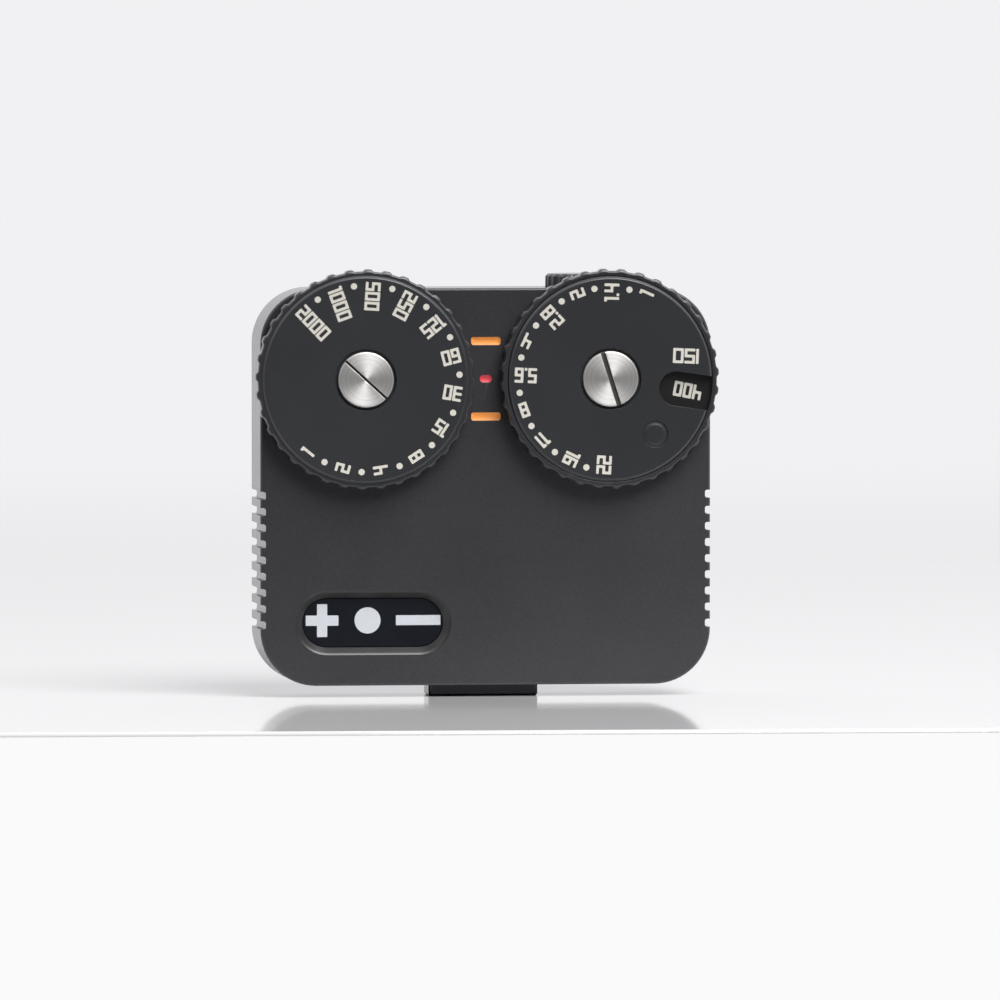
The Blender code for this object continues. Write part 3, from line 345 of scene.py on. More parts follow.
seal_ior = 1.5
under_gloss = 0.12

to_front = np.array(((1, 0, 0), (0, 0, 1), (0, -1, 0)))
to_top = np.eye(3)
body_low, body_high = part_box("housing")
body_width = body_high.x - body_low.x
body_height = body_high.z - body_low.z
body_middle = (body_low.z + body_high.z) / 2
back_y = body_high.y
dial_low, dial_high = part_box("shutter_dial")
dial_x = -(dial_low.x + dial_high.x) / 2
dial_z = (dial_low.z + dial_high.z) / 2
shutter_axis = (-dial_x, 0, dial_z)
aperture_axis = (dial_x, 0, dial_z)
pocket_x = body_low.x + pocket_from_side + pocket_length / 2
pocket_z = body_low.z + pocket_rise
pocket_place = (pocket_x, 0, pocket_z)
button_low, button_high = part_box("measuring_button")
button_x = (button_low.x + button_high.x) / 2
button_radius = (button_high.x - button_low.x) / 2
index_marks = (
    (dial_z + index_step, index_length, index_height, index_corner_share),
    (dial_z, middle_index_length, middle_index_height, middle_index_corner_share),
    (dial_z - index_step, index_length, index_height, index_corner_share),
)


def rounded(width, height, radius, steps=16):
    """A rectangle with round corners, as a function of how far inside it the line is drawn: the
    sides move in by the inset, and the corners' radius loses it until next to none is left."""
    corner = np.repeat(np.arange(4), steps + 1)
    angle = (corner + np.tile(np.linspace(0, 1, steps + 1), 4)) * math.pi / 2
    side_u, side_v = np.where(corner % 3 == 0, 1, -1), np.where(corner < 2, 1, -1)

    def drawn(inset):
        inset = inset[:, None]
        reach = np.maximum(radius - inset, radius * least_radius_share)
        u = side_u * (width / 2 - inset - reach) + reach * np.cos(angle)
        return u, side_v * (height / 2 - inset - reach) + reach * np.sin(angle)

    return drawn


def pill(length, height, steps=24):
    """Two half circles joined by straight lines, as a function of the inset, like rounded."""
    turn = np.linspace(-math.pi / 2, math.pi / 2, steps + 1)
    angle = np.concatenate((turn, turn + math.pi))
    middle = (length - height) / 2 * np.repeat((1, -1), steps + 1)

    def drawn(inset):
        reach = height / 2 - inset[:, None]
        return middle + reach * np.cos(angle), reach * np.sin(angle)

    return drawn


def circle(radius, steps=64):
    """A circle, as a function of the inset: radius less inset, times cosine and sine."""
    angle = np.arange(steps) * math.tau / steps

    def drawn(inset):
        reach = radius - inset[:, None]
        return reach * np.cos(angle), reach * np.sin(angle)

    return drawn


def soften(profile, radius, steps=2):
    """Rounds a profile's corners: from radius before a corner to radius after it, the line is the
    quadratic curve whose handle is the corner. It takes no more than its share of a short side, and
    the two ends stay."""
    points = np.array(profile, float)
    back, ahead = points[:-2] - points[1:-1], points[2:] - points[1:-1]
    corner = points[1:-1, None]
    sides = []
    for side in (back, ahead):
        length = np.linalg.norm(side[:, :2], axis=1)
        share = np.minimum(radius / length, most_side_share)
        sides.append((points[1:-1] + side * share[:, None])[:, None])
    t = np.linspace(0, 1, steps + 1)[None, :, None]
    curve = (1 - t) ** 2 * sides[0] + 2 * t * (1 - t) * corner + t**2 * sides[1]
    return np.concatenate((points[:1], curve.reshape(-1, points.shape[1]), points[-1:]))


def carry(outline, profile):
    """Rings: the outline drawn at each of the profile's insets, and raised to that row's height."""
    rows = np.array(profile, float)
    u, v = outline(rows[:, 0])
    return np.stack((u, v, np.broadcast_to(rows[:, 1, None], u.shape)), -1)


def placed(name, rings, place, way=to_front, closed=False):
    """A surface whose rings are drawn about the origin, turned to face its way and put in its place."""
    return surface(name, rings @ way + np.array(place), closed)


def extruded(name, outline, low, high, place, way=to_front):
    """A plain prism from low to high along the way, for what is cut or joined."""
    return placed(name, carry(outline, ((0, low), (0, high))), place, way)


def prisms(name, outline, low, high, places):
    """The same prism square to the face at each of several places."""
    return [extruded(name, outline, low, high, (at[0], 0, at[2])) for at in places]


def applied(piece):
    """Puts the modifiers' result into the piece's own mesh."""
    bpy.context.view_layer.update()
    shape = bpy.data.meshes.new_from_object(piece.evaluated_get(bpy.context.evaluated_depsgraph_get()))
    piece.modifiers.clear()
    piece.data = shape
    return piece


def combine(piece, others, operation="DIFFERENCE"):
    """Cuts the others out of the piece, or joins them to it, and removes them."""
    for other in others:
        modifier = piece.modifiers.new("combine", "BOOLEAN")
        modifier.object = other
        modifier.operation = operation
        modifier.solver = "EXACT"
    applied(piece)
    for other in others:
        bpy.data.objects.remove(other)
    return piece


def read(items, name, width=3, kind=float):
    """A property of each point, edge, corner or face of a mesh, as the rows of an array."""
    values = np.zeros(len(items) * width, kind)
    items.foreach_get(name, values)
    return values.reshape(-1, width)


def surfaced(piece, finish, sharp=30, merged=True):
    """Closes the hairline cracks and merges the coplanar faces that cutting leaves, and gives the
    piece its finish, smooth across soft edges and flat on flats."""
    shell = bmesh.new()
    shell.from_mesh(piece.data)
    bmesh.ops.remove_doubles(shell, verts=shell.verts, dist=weld_distance)
    bmesh.ops.holes_fill(shell, edges=[edge for edge in shell.edges if edge.is_boundary])
    shell.to_mesh(piece.data)
    shell.free()
    if merged:
        modifier = piece.modifiers.new("merged", "DECIMATE")
        modifier.decimate_type = "DISSOLVE"
        modifier.angle_limit = flat_angle
        applied(piece)
    mesh = piece.data
    mesh.materials.clear()
    mesh.materials.append(finish)
    mesh.polygons.foreach_set("material_index", np.zeros(len(mesh.polygons), np.int32))
    mesh.shade_smooth()
    flat = np.abs(read(mesh.polygons, "normal")).max(axis=1) > flat_cosine
    mesh.polygons.foreach_set("use_smooth", ~flat)
    mesh.set_sharp_from_angle(angle=math.radians(sharp))
    modifier = piece.modifiers.new("flats", "WEIGHTED_NORMAL")
    modifier.keep_sharp = True
    modifier.weight = flats_weight
    return applied(piece)


def new_material(name):
    """A material with its node tree and the tree's shader."""
    made = bpy.data.materials.new(name)
    made.use_nodes = True
    return made, made.node_tree, made.node_tree.nodes["Principled BSDF"]


def anodised_aluminium(name, dye, roughness, sheen_roughness, painted_light_drift=0.0):
    """Dyed oxide over blasted metal: dark and matt from the front, and bright at a low angle, where the
    sealed film mirrors what is behind it. The grain comes from noise at the blast's size as bump, and
    a slow noise clouds the dye and the gloss a little, as a bath does. The colour is made paler towards
    the right across the body, by the drift share each side of the middle: painted light, as the light falls
    more from the right."""
    made, tree, shader = new_material(name)
    place = add_node(tree, "TexCoord").outputs["Object"]
    right = add_node(tree, "SeparateXYZ", {"Vector": place}).outputs["X"]
    blasting = {"Vector": place, "Scale": 1 / blast_grain, "Detail": grain_detail}
    grain = add_node(tree, "TexNoise", {**blasting, "Roughness": grain_roughness})
    cloud = add_node(tree, "TexNoise", {"Vector": place, "Scale": 1 / cloud_size, "Detail": cloud_detail})
    fleck = add_node(tree, "MapRange", (grain, *noise_range, *grain_tone))
    tint = add_node(tree, "MapRange", (cloud, *noise_range, *cloud_tone))
    painted_light_ramp = add_node(tree, "MapRange", (right, -body_width / 2, body_width / 2, 1 - painted_light_drift, 1 + painted_light_drift))
    speckled = add_node(tree, "Math", (tint, fleck), operation="MULTIPLY")
    shade = add_node(tree, "Math", (speckled, painted_light_ramp), operation="MULTIPLY")
    colour = add_node(tree, "VectorMath", {0: linear(dye)[:3], "Scale": shade}, operation="SCALE")
    gloss_range = (roughness - cloud_gloss, roughness + cloud_gloss)
    gloss = add_node(tree, "MapRange", (cloud, *noise_range, *gloss_range))
    bump = add_node(tree, "Bump", {"Height": grain, "Strength": 1.0, "Distance": blast_depth})
    feed(shader, {"Base Color": colour, "Roughness": gloss, "Normal": bump})
    feed(shader, {"Specular IOR Level": under_gloss, "Coat Weight": 1.0})
    feed(shader, {"Coat IOR": seal_ior, "Coat Roughness": sheen_roughness})
    return made


def notch_bars():
    """Eighteen bars across the sides, as long as the body is deep, nine to a side."""
    reach = notch_depth + overrun
    x = body_width / 2 - notch_depth + reach / 2
    low = body_low.z + lowest_notch
    places = [(side * x, 0, low + step * notch_pitch) for side in (-1, 1) for step in range(notch_count)]
    outline = rounded(reach, notch_height, notch_fillet, steps=4)
    return prisms("notch", outline, -back_y - overrun, back_y + overrun, places)


def mouth(low, high):
    """A cutter's profile from low to high. It flares a hair above the surface that it cuts, so that
    the rim is left slightly round."""
    flare = 2 * edge_softness
    return soften([(0, low), (0, high), (-flare, high + hair), (-flare, high + overrun)], edge_softness)


def pocket_cutter(low, high):
    """The pocket's profile: straight walls, then a 45 degree bevel. The bevel's outer edge runs out
    into the face by the quadratic curve whose handle is the corner."""
    share = np.linspace(0, 1, lip_rows)
    inset = pocket_inset + pocket_lip * ((1 - share) ** 2 - share**2)
    height = high - pocket_lip * (1 - share) ** 2 + lip_rise * share
    straight = ((pocket_bevel, low), (pocket_bevel, high - pocket_bevel + pocket_inset))
    return np.vstack((straight, np.column_stack((inset, height)), (inset[-1], high + overrun)))


def centre(node):
    """The middle of a node's box."""
    low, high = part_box(node)
    return (low + high) / 2


def housing():
    """The block, less its cavity, with the posts in it, and then less every hole and groove."""
    reach = edge_chamfer + overrun
    edge = [(reach, -back_y), (edge_chamfer, -back_y), (0, -back_y + edge_chamfer)]
    edge += [(inset, -height) for inset, height in reversed(edge)]
    middle = (0, 0, body_middle)
    outline = rounded(body_width, body_height, corner_radius)
    shell = placed("housing_shell", carry(outline, soften(edge, edge_softness)), middle)
    floor = back_y - front_wall
    cavity = carry(outline, ((side_wall, -back_y - overrun), (side_wall, floor)))
    combine(shell, [placed("cavity", cavity, middle)])
    corners = [centre(f"cover_screw_{number}") for number in cover_screws]
    boards = [centre(f"board_screw_{number}") for number in board_screws]
    board_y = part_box("circuit_board")[0].y
    sheet = -back_y + cover_thickness
    post, corner_post = circle(post_radius), circle(corner_post_radius)
    posts = prisms("post", corner_post, -back_y + cover_thickness / 2, sheet + corner_post_length, corners)
    posts += prisms("post", post, -board_y + seat_gap, floor + front_wall / 2, boards)
    combine(shell, posts, "UNION")
    rebate = carry(outline, ((rebate_wall, -back_y - overrun), (rebate_wall, sheet)))
    cuts = [placed("rebate", rebate, middle)]
    cuts += prisms("hole", circle(cover_hole_radius), -back_y, sheet + hole_depth, corners)
    cuts += prisms("hole", circle(board_hole_radius), -board_y - overrun, back_y - board_hole_wall, boards)
    bore, axes = circle(bush_radius + seat_gap), (shutter_axis, aperture_axis)
    cuts += prisms("bore", bore, floor - overrun, back_y + overrun, axes)
    pocket = carry(pill(pocket_length, pocket_height), pocket_cutter(floor - overrun, back_y))
    cuts.append(placed("pocket", pocket, pocket_place))
    for z, length, height, share in index_marks:
        groove = carry(rounded(length, height, height * share), mouth(back_y - index_depth, back_y))
        cuts.append(placed("groove", groove, (0, 0, z)))
    slot = rounded(sensor_length + 2 * seat_gap, sensor_depth + 2 * seat_gap, sensor_corner)
    slot_top = body_low.z + side_wall + overrun
    cuts.append(extruded("window_slot", slot, body_low.z - overrun, slot_top, (0, 0, 0), to_top))
    ledge_z = body_high.z - side_wall + ledge_depth
    cap_bore = carry(circle(button_radius + seat_gap), mouth(ledge_z, body_high.z))
    cuts.append(placed("button_bore", cap_bore, (button_x, 0, 0), to_top))
    stem, stem_low = circle(stem_radius + seat_gap), ledge_z - side_wall - overrun
    cuts.append(extruded("stem_bore", stem, stem_low, body_high.z, (button_x, 0, 0), to_top))
    combine(shell, cuts)
    return combine(shell, notch_bars())


# The case's colour carries painted light: it is paler towards the right across the body.
case_black = anodised_aluminium("bead_blasted_black_anodised", "333336", 0.5, 0.24, painted_light_drift=0.15)
case = surfaced(housing(), case_black)
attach(case, "housing")
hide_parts("housing")


# The status window is smoked acrylic set behind the bevelled pocket, with a flange inside the wall.
# The bevel is painted near black with a satin gloss: painted shade, for the shade inside the pocket, so it
# looks as dark as the window.
# Plus, dot and minus are printed on it in pale grey: over, right and under exposure.
window_edge = 0.05 * mm
window_gap = 0.03 * mm
window_flange = 0.4 * mm
window_flange_width = 0.5 * mm
print_height = 0.012 * mm
print_edge = 0.05 * mm
plus_share = -0.324
dot_share = -0.032
minus_share = 0.294
symbol_rise = 0.2 * mm
plus_size = 3.05 * mm
plus_arm = 0.95 * mm
dot_radius = 1.22 * mm
minus_length = 4.15 * mm
minus_height = 0.92 * mm
face_cosine = 0.97


def plain_material(name, colour, metallic, roughness, ior=1.5, speck=0.05, speck_size=0.2 * mm, relief=0.0):
    """A surface whose tone a noise of speck_size varies by the share speck, with that noise as relief."""
    made, tree, shader = new_material(name)
    place = add_node(tree, "TexCoord").outputs["Object"]
    noise = add_node(tree, "TexNoise", {"Vector": place, "Scale": 1 / speck_size, "Detail": grain_detail})
    shade = add_node(tree, "MapRange", (noise, *noise_range, 1 - speck, 1 + speck))
    tint = add_node(tree, "VectorMath", {0: linear(colour)[:3], "Scale": shade}, operation="SCALE")
    if relief:
        feed(shader, {"Normal": add_node(tree, "Bump", {"Height": noise, "Distance": relief})})
    feed(shader, {"Base Color": tint, "Metallic": metallic, "Roughness": roughness, "IOR": ior})
    return made


def cells(widths, heights, pattern, low, high):
    """A flat block letter. The pattern's rows, top first, say with a 1 which cells of the grid are
    solid; the widths and heights are the grid's. A wall stands wherever a solid cell meets an empty one."""
    filled = np.array([[mark == "1" for mark in row] for row in pattern])[::-1]
    u = np.concatenate(([0], np.cumsum(widths)))
    v = np.concatenate(([0], np.cumsum(heights[::-1])))
    grid = np.stack(np.meshgrid(u, v), -1).reshape(-1, 2)
    layer = len(grid)
    points = np.concatenate([np.column_stack((grid, np.full(layer, height))) for height in (low, high)])
    row, column = np.nonzero(filled)
    corner = row * len(u) + column
    around = np.stack((corner, corner + 1, corner + 1 + len(u), corner + len(u)), -1)
    beyond = np.pad(filled, 1)
    faces = [around + layer, around[:, ::-1]]
    for side, (down, across) in enumerate(((-1, 0), (0, 1), (1, 0), (0, -1))):
        edge = ~beyond[row + 1 + down, column + 1 + across]
        start, end = around[edge, side], around[edge, (side + 1) % 4]
        faces.append(np.stack((start, end, end + layer, start + layer), -1))
    return points, np.concatenate(faces)


def disc(radius, low, high, steps=32):
    """A round dot as a ring of points at each height, with its sides and two caps in quads."""
    u, v = circle(radius, steps)(np.zeros(1))
    ring = np.column_stack((u[0], v[0]))
    points = np.concatenate([np.column_stack((ring, np.full(steps, height))) for height in (low, high)])
    at = np.arange(steps)
    beside = (at + 1) % steps
    sides = np.stack((at, beside, beside + steps, at + steps), -1)
    half = np.arange(steps // 2 - 1)
    cap = np.stack((half, half + 1, steps - 2 - half, steps - 1 - half), -1)
    return points, np.concatenate((sides, cap + steps, cap[:, ::-1]))


def printed(name, marks, place, edge):
    """Joins marks, each a pair of points and faces, into one piece whose upright edges are rounded."""
    starts = np.cumsum([0] + [len(points) for points, _ in marks])
    points = np.concatenate([points for points, _ in marks])
    faces = np.concatenate([faces + start for (_, faces), start in zip(marks, starts)])
    used, faces = np.unique(faces, return_inverse=True)
    faces = faces.reshape(-1, 4)
    flat = points[used]
    mesh = bpy.data.meshes.new(name)
    mesh.from_pydata((flat @ to_front + np.array(place)).tolist(), [], faces.tolist())
    ends = flat[read(mesh.edges, "vertices", 2, np.int32)]
    upright = np.linalg.norm(ends[:, 0, :2] - ends[:, 1, :2], axis=1) == 0
    weight = mesh.attributes.new("bevel_weight_edge", "FLOAT", "EDGE")
    weight.data.foreach_set("value", upright.astype(np.float32))
    piece = bpy.data.objects.new(name, mesh)
    bpy.context.scene.collection.objects.link(piece)
    rounding = piece.modifiers.new("rounding", "BEVEL")
    rounding.limit_method = "WEIGHT"
    rounding.width = edge
    rounding.segments = 2
    return applied(piece)


def moved(mark, u, v, turn=0.0):
    """A mark turned about its origin and then moved."""
    points, faces = mark
    cosine, sine = math.cos(turn), math.sin(turn)
    across = points[:, 0] * cosine - points[:, 1] * sine + u
    up = points[:, 0] * sine + points[:, 1] * cosine + v
    return np.column_stack((across, up, points[:, 2])), faces


def status_window():
    """The pill drawn outwards for the flange, then up through the wall, with a soft polished edge."""
    low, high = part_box("status_window")
    profile = [
        (-window_flange_width, -high.y),
        (-window_flange_width, window_flange - high.y),
        (window_gap, window_flange - high.y),
        (window_gap, -low.y - window_edge),
        (window_gap + window_edge, -low.y),
    ]
    outline = pill(pocket_length - 2 * pocket_bevel, pocket_height - 2 * pocket_bevel)
    return placed("status_window_acrylic", carry(outline, soften(profile, window_edge / 2)), pocket_place)


def status_symbols():
    """Plus, dot and minus, each placed as a share of the pocket's length."""
    top = -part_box("status_window")[0].y
    low, high = top + hair / 2, top + print_height
    side = (plus_size - plus_arm) / 2
    thirds = (side, plus_arm, side)
    plus = cells(thirds, thirds, ("010", "111", "010"), low, high)
    dot = disc(dot_radius, low, high)
    minus = cells((minus_length,), (minus_height,), ("1",), low, high)
    marks = [
        moved(plus, plus_share * pocket_length - plus_size / 2, symbol_rise - plus_size / 2),
        moved(dot, dot_share * pocket_length, symbol_rise),
        moved(minus, minus_share * pocket_length - minus_length / 2, symbol_rise - minus_height / 2),
    ]
    return printed("status_symbols", marks, pocket_place, print_edge)


def refinish(piece, finish, chosen):
    """Gives a second finish to the faces that chosen picks by their middles and their normals."""
    mesh = piece.data
    picked = chosen(read(mesh.polygons, "center"), read(mesh.polygons, "normal"))
    index = np.where(picked, len(mesh.materials), 0).astype(np.int32)
    mesh.materials.append(finish)
    mesh.polygons.foreach_set("material_index", index)
    return piece


def in_pocket(middles, normals):
    """The pocket's bevel and the wall behind it, to the edge of the face."""
    across, up = middles[:, 0] - pocket_x, middles[:, 2] - pocket_z
    beside = np.hypot(np.maximum(np.abs(across) - (pocket_length - pocket_height) / 2, 0), up)
    return (beside < pocket_height / 2 + pocket_lip) & (normals[:, 1] > -face_cosine)


# The pocket's bevel and the wheel's seat under the scale disc are painted near black as shade, with a soft
# edge to the gloss. Polished acrylic is as dark, and mirrors sharply. The ink is matt and even.
painted_shade_satin = plain_material("painted_shade_satin_black", "0D0D0E", 0, 0.36, ior=1.6, relief=0.003 * mm)
refinish(case, painted_shade_satin, in_pocket)
acrylic_look = {"ior": 1.49, "speck": 0.1, "speck_size": 2 * mm}
smoked_acrylic = plain_material("polished_smoked_acrylic", "171A20", 0, 0.07, **acrylic_look)
status_glass = surfaced(status_window(), smoked_acrylic)
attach(status_glass, "housing")
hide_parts("status_window")
pale_ink = plain_material("pale_grey_ink", "CDD0D6", 0, 0.5, speck=0.03, relief=0.002 * mm)
symbols = surfaced(status_symbols(), pale_ink)
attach(symbols, "housing")


# The marks between the dials are grooves filled with stoving enamel, orange for the two outer ones
# and red for the middle one. The enamel draws up at the groove's walls and sags between them, and its
# colour is even and strong under a soft gloss.
enamel_gap = 0.004 * mm
enamel_below_face = 0.03 * mm
enamel_sag = 0.1 * mm
enamel_rows = 10


def index_enamel(name, z, length, height, share):
    """The groove's outline drawn ever further in, and lower by the sag times the sine of the way in."""
    way_in = np.linspace(0, 1, enamel_rows)
    inset = enamel_gap + way_in * (height / 2 - 2 * enamel_gap)
    top = back_y - enamel_below_face - enamel_sag * np.sin(way_in * math.pi / 2)
    profile = np.vstack(((enamel_gap, back_y - index_depth + hair), np.column_stack((inset, top))))
    return placed(name, carry(rounded(length, height, height * share), profile), (0, 0, z))


orange_enamel = plain_material("orange_stoving_enamel", "FFA24A", 0, 0.5, speck=0.03)
red_enamel = plain_material("red_stoving_enamel", "E84854", 0, 0.5, speck=0.03)
for name, mark, finish, slot in (
    ("upper_index_enamel", index_marks[0], orange_enamel, "orange_enamel"),
    ("middle_index_enamel", index_marks[1], red_enamel, "red_enamel"),
    ("lower_index_enamel", index_marks[2], orange_enamel, "orange_enamel"),
):
    fill = surfaced(index_enamel(name, *mark), finish)
    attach(fill, "housing")


# The sensor window is a block of the same smoked acrylic with a flange inside the bottom wall. The
# meter stands on its flat end.
sensor_edge = 0.15 * mm
sensor_flange_width = 0.6 * mm
sensor_flange = 0.45 * mm


def sensor_window():
    """The block's outline carried up from its bevelled foot, and drawn outwards for the flange."""
    low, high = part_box("sensor_window")
    profile = [
        (sensor_edge + overrun / 2, low.z),
        (sensor_edge, low.z),
        (0, low.z + sensor_edge),
        (0, high.z - sensor_flange),
        (-sensor_flange_width, high.z - sensor_flange),
        (-sensor_flange_width, high.z),
    ]
    outline = rounded(sensor_length, sensor_depth, sensor_corner)
    return surface("sensor_window_acrylic", carry(outline, soften(profile, edge_softness)))


sensor_glass = surfaced(sensor_window(), smoked_acrylic)
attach(sensor_glass, "housing")
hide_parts("sensor_window")


# The shutter dial is turned from aluminium bar, knurled straight round its rim, blasted more finely
# than the body and anodised black. It sits on the spindle's flats, over a wave washer.
knurl_count = 36
knurl_height = 0.2 * mm
knurl_steps = 14
ridge_share = 0.22
foot_share = 0.62
shutter_knurl_angle = math.radians(8.3)
disc_step = 0.6 * mm
disc_chamfer = 0.2 * mm
rim_drop = 0.25 * mm
wheel_edge = 0.16 * mm
rim_shoulder = (0.28 * mm, 0.22 * mm)
underside_cut = 0.5
shoulder_cut = 0.8
front_cut = 0.3
counterbore_radius = 2.85 * mm
counterbore_depth = 0.4 * mm
shank_hole_radius = 1.1 * mm
spindle_radius = 1.9 * mm
spindle_across_flats = 2.8 * mm
washer_inner_radius = 3.7 * mm
washer_outer_radius = 5.3 * mm

crest_radius = (dial_high.x - dial_low.x) / 2
disc_radius = crest_radius - disc_step
dial_top = -dial_low.y
dial_bottom = -dial_high.y


def turned(profile, first_angle=0.0, count=knurl_count, depth=0.0, steps=knurl_steps):
    """Rings round an axis. Each profile row is a radius and a height, and on a knurled piece also how
    much of the knurl is cut there. The knurl takes up to its depth off the radius between ridges, by
    a smooth step of the distance from the nearest ridge's middle in pitches."""
    rows = np.array(profile, float)[:, :, None]
    turn = np.arange(count * steps) / steps
    away = np.abs((turn + 0.5) % 1 - 0.5)
    step = np.clip((2 * away - ridge_share) / (foot_share - ridge_share), 0, 1)
    valley = step**2 * (3 - 2 * step)
    angle = first_angle + turn * math.tau / count
    cut = depth * rows[:, 2] if depth else 0
    reach = rows[:, 0] - cut * valley
    height = np.broadcast_to(rows[:, 1], reach.shape)
    return np.stack((reach * np.cos(angle), reach * np.sin(angle), height), -1)


def double_flat(radius, across_flats, steps=48):
    """A circle whose upper and lower parts are cut off flat, as a function of the inset."""
    angle = np.arange(steps) * math.tau / steps

    def drawn(inset):
        reach = radius - inset[:, None]
        return reach * np.cos(angle), np.clip(reach * np.sin(angle), -across_flats / 2, across_flats / 2)

    return drawn


def underside_cuts(place, socket_top):
    """What a dial's underside loses: the ring for its wave washer, and the spindle's flatted socket."""
    washer_top = -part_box("shutter_wave_washer")[0].y + seat_gap
    ring = (
        (washer_inner_radius, dial_bottom - overrun),
        (washer_outer_radius, dial_bottom - overrun),
        (washer_outer_radius, washer_top),
        (washer_inner_radius, washer_top),
    )
    flats = double_flat(spindle_radius + seat_gap, spindle_across_flats + 2 * seat_gap)
    recess = placed("recess", turned(ring, steps=4), place, closed=True)
    return [recess, extruded("socket", flats, dial_bottom - overrun, socket_top, place)]


def knurled_rim():
    """A rim's profile from its underside round the knurl to its front, with a rounded shoulder. The
    knurl is cut less deep at both ends."""
    shoulder_width, shoulder_height = rim_shoulder
    front = dial_top - rim_drop
    return [
        (crest_radius - knurl_height - wheel_edge, dial_bottom, 0),
        (crest_radius - wheel_edge, dial_bottom, underside_cut),
        (crest_radius, dial_bottom + wheel_edge, 1),
        (crest_radius, front - shoulder_height, 1),
        (crest_radius - shoulder_width / 3, front - shoulder_height / 3, shoulder_cut),
        (crest_radius - shoulder_width, front, front_cut),
    ]


def shutter_dial():
    """Rim, raised scale face with its chamfer, counterbore and shank hole in one profile."""
    profile = [
        (shank_hole_radius, dial_bottom, 0),
        *knurled_rim(),
        (disc_radius, dial_top - rim_drop, 0),
        (disc_radius, dial_top - disc_chamfer, 0),
        (disc_radius - disc_chamfer, dial_top, 0),
        (counterbore_radius, dial_top, 0),
        (counterbore_radius, dial_top - counterbore_depth, 0),
        (shank_hole_radius, dial_top - counterbore_depth, 0),
    ]
    rings = turned(soften(profile, edge_softness), shutter_knurl_angle, depth=knurl_height)
    dial = placed("shutter_dial_turned", rings, shutter_axis, closed=True)
    spindle_top = -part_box("shutter_spindle")[0].y + seat_gap
    return combine(dial, underside_cuts(shutter_axis, spindle_top))


dial_black = anodised_aluminium("fine_blasted_black_anodised", "2B2C2F", 0.45, 0.3)
shutter = surfaced(shutter_dial(), dial_black)
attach(shutter, "shutter_dial")
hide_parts("shutter_dial")


# The shutter speeds are engraved and filled with warm white enamel, one every 23.9 degrees, with a
# dot between each two. They read inwards, in block figures with round corners.
digit_height = 1.4 * mm
digit_width = 0.82 * mm
digit_gap = 0.085 * mm
stroke = 0.255 * mm
figure_edge = 0.1 * mm
scale_radius = 8.95 * mm
scale_dot_radius = 0.3 * mm
scale_dot_steps = 16
scale_dot_distance = 8.63 * mm
shutter_speeds = ("2000", "1000", "500", "250", "125", "60", "30", "15", "8", "4", "2", "1")
shutter_scale_shift = (0.07 * mm, 0.09 * mm)
first_speed_angle = 133.8
speed_step = -23.9
figures = {
    "0": ("111", "101", "101", "101", "111"),
    "1": ("11", "01", "01", "01", "01"),
    "2": ("111", "001", "111", "100", "111"),
    "3": ("111", "001", "111", "001", "111"),
    "4": ("101", "101", "111", "001", "001"),
    "5": ("111", "100", "111", "001", "111"),
    "6": ("111", "100", "111", "101", "111"),
    "8": ("111", "101", "111", "101", "111"),
    "I": ("1", "1", "1", "1", "1"),
    "S": ("111", "100", "111", "001", "111"),
    "O": ("111", "101", "101", "101", "111"),
    ".": ("0", "0", "0", "0", "1"),
}
flag_share = 0.22


def lettering(text, low, high, width=digit_width, height=digit_height):
    """Block figures in a row that is centred on the origin: the marks, and the row's length."""
    between = (height - 3 * stroke) / 2
    heights = (stroke, between, stroke, between, stroke)
    columns = {1: (stroke,), 2: (flag_share * width, stroke), 3: (stroke, width - 2 * stroke, stroke)}
    widths = [columns[len(figures[letter][0])] for letter in text]
    steps = np.cumsum([0] + [sum(columns) + digit_gap for columns in widths])
    length = steps[-1] - digit_gap
    marks = [
        moved(cells(columns, heights, figures[letter], low, high), start - length / 2, -height / 2)
        for letter, columns, start in zip(text, widths, steps)
    ]
    return marks, length


def scale_marks(texts, first, step, turn, surface_height, reach, dot_distance=None):
    """A dial's figures round its face, each row turned against its radius and ending at the reach. At
    a dot distance, a dot stands halfway to the next row."""
    low, high = surface_height + hair / 2, surface_height + print_height
    marks = []
    for number, text in enumerate(texts):
        angle = math.radians(first + step * number)
        row, length = lettering(text, low, high)
        distance = reach - length / 2
        u, v = distance * math.cos(angle), distance * math.sin(angle)
        marks += [moved(mark, u, v, angle + turn) for mark in row]
        if dot_distance and number + 1 < len(texts):
            half = angle + math.radians(step / 2)
            dot = disc(scale_dot_radius, low, high, scale_dot_steps)
            marks.append(moved(dot, dot_distance * math.cos(half), dot_distance * math.sin(half)))
    return marks


# Stoved enamel in the figures is matt, and a little cloudy beside printed ink.
warm_enamel = plain_material("warm_white_enamel", "DDD9CF", 0, 0.5, speck=0.04, relief=0.003 * mm)
speeds = scale_marks(
    shutter_speeds, first_speed_angle, speed_step, math.pi, dial_top, scale_radius, scale_dot_distance
)
speed_place = (shutter_scale_shift[0] - dial_x, 0, shutter_scale_shift[1] + dial_z)
speed_figures = surfaced(printed("shutter_speed_figures", speeds, speed_place, figure_edge), warm_enamel)
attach(speed_figures, "shutter_dial")


# The aperture dial is a knurled wheel with the film speeds on its face. The scale disc lies on it and
# turns against it, so that one film speed shows through the disc's window.
aperture_knurl_angle = math.radians(3.6)
rim_gap = 0.05 * mm
scale_disc_step = 0.68 * mm
film_speeds = ("25", "50", "100", "200", "400", "800", "1600", "3200")
film_speed_in_use = 4
film_speed_angle = -8.8
film_speed_step = -22.25
film_speed_reach = 8.7 * mm
film_speed_turn = math.radians(-2.2)

scale_disc_radius = crest_radius - scale_disc_step
wheel_top = -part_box("aperture_dial")[0].y


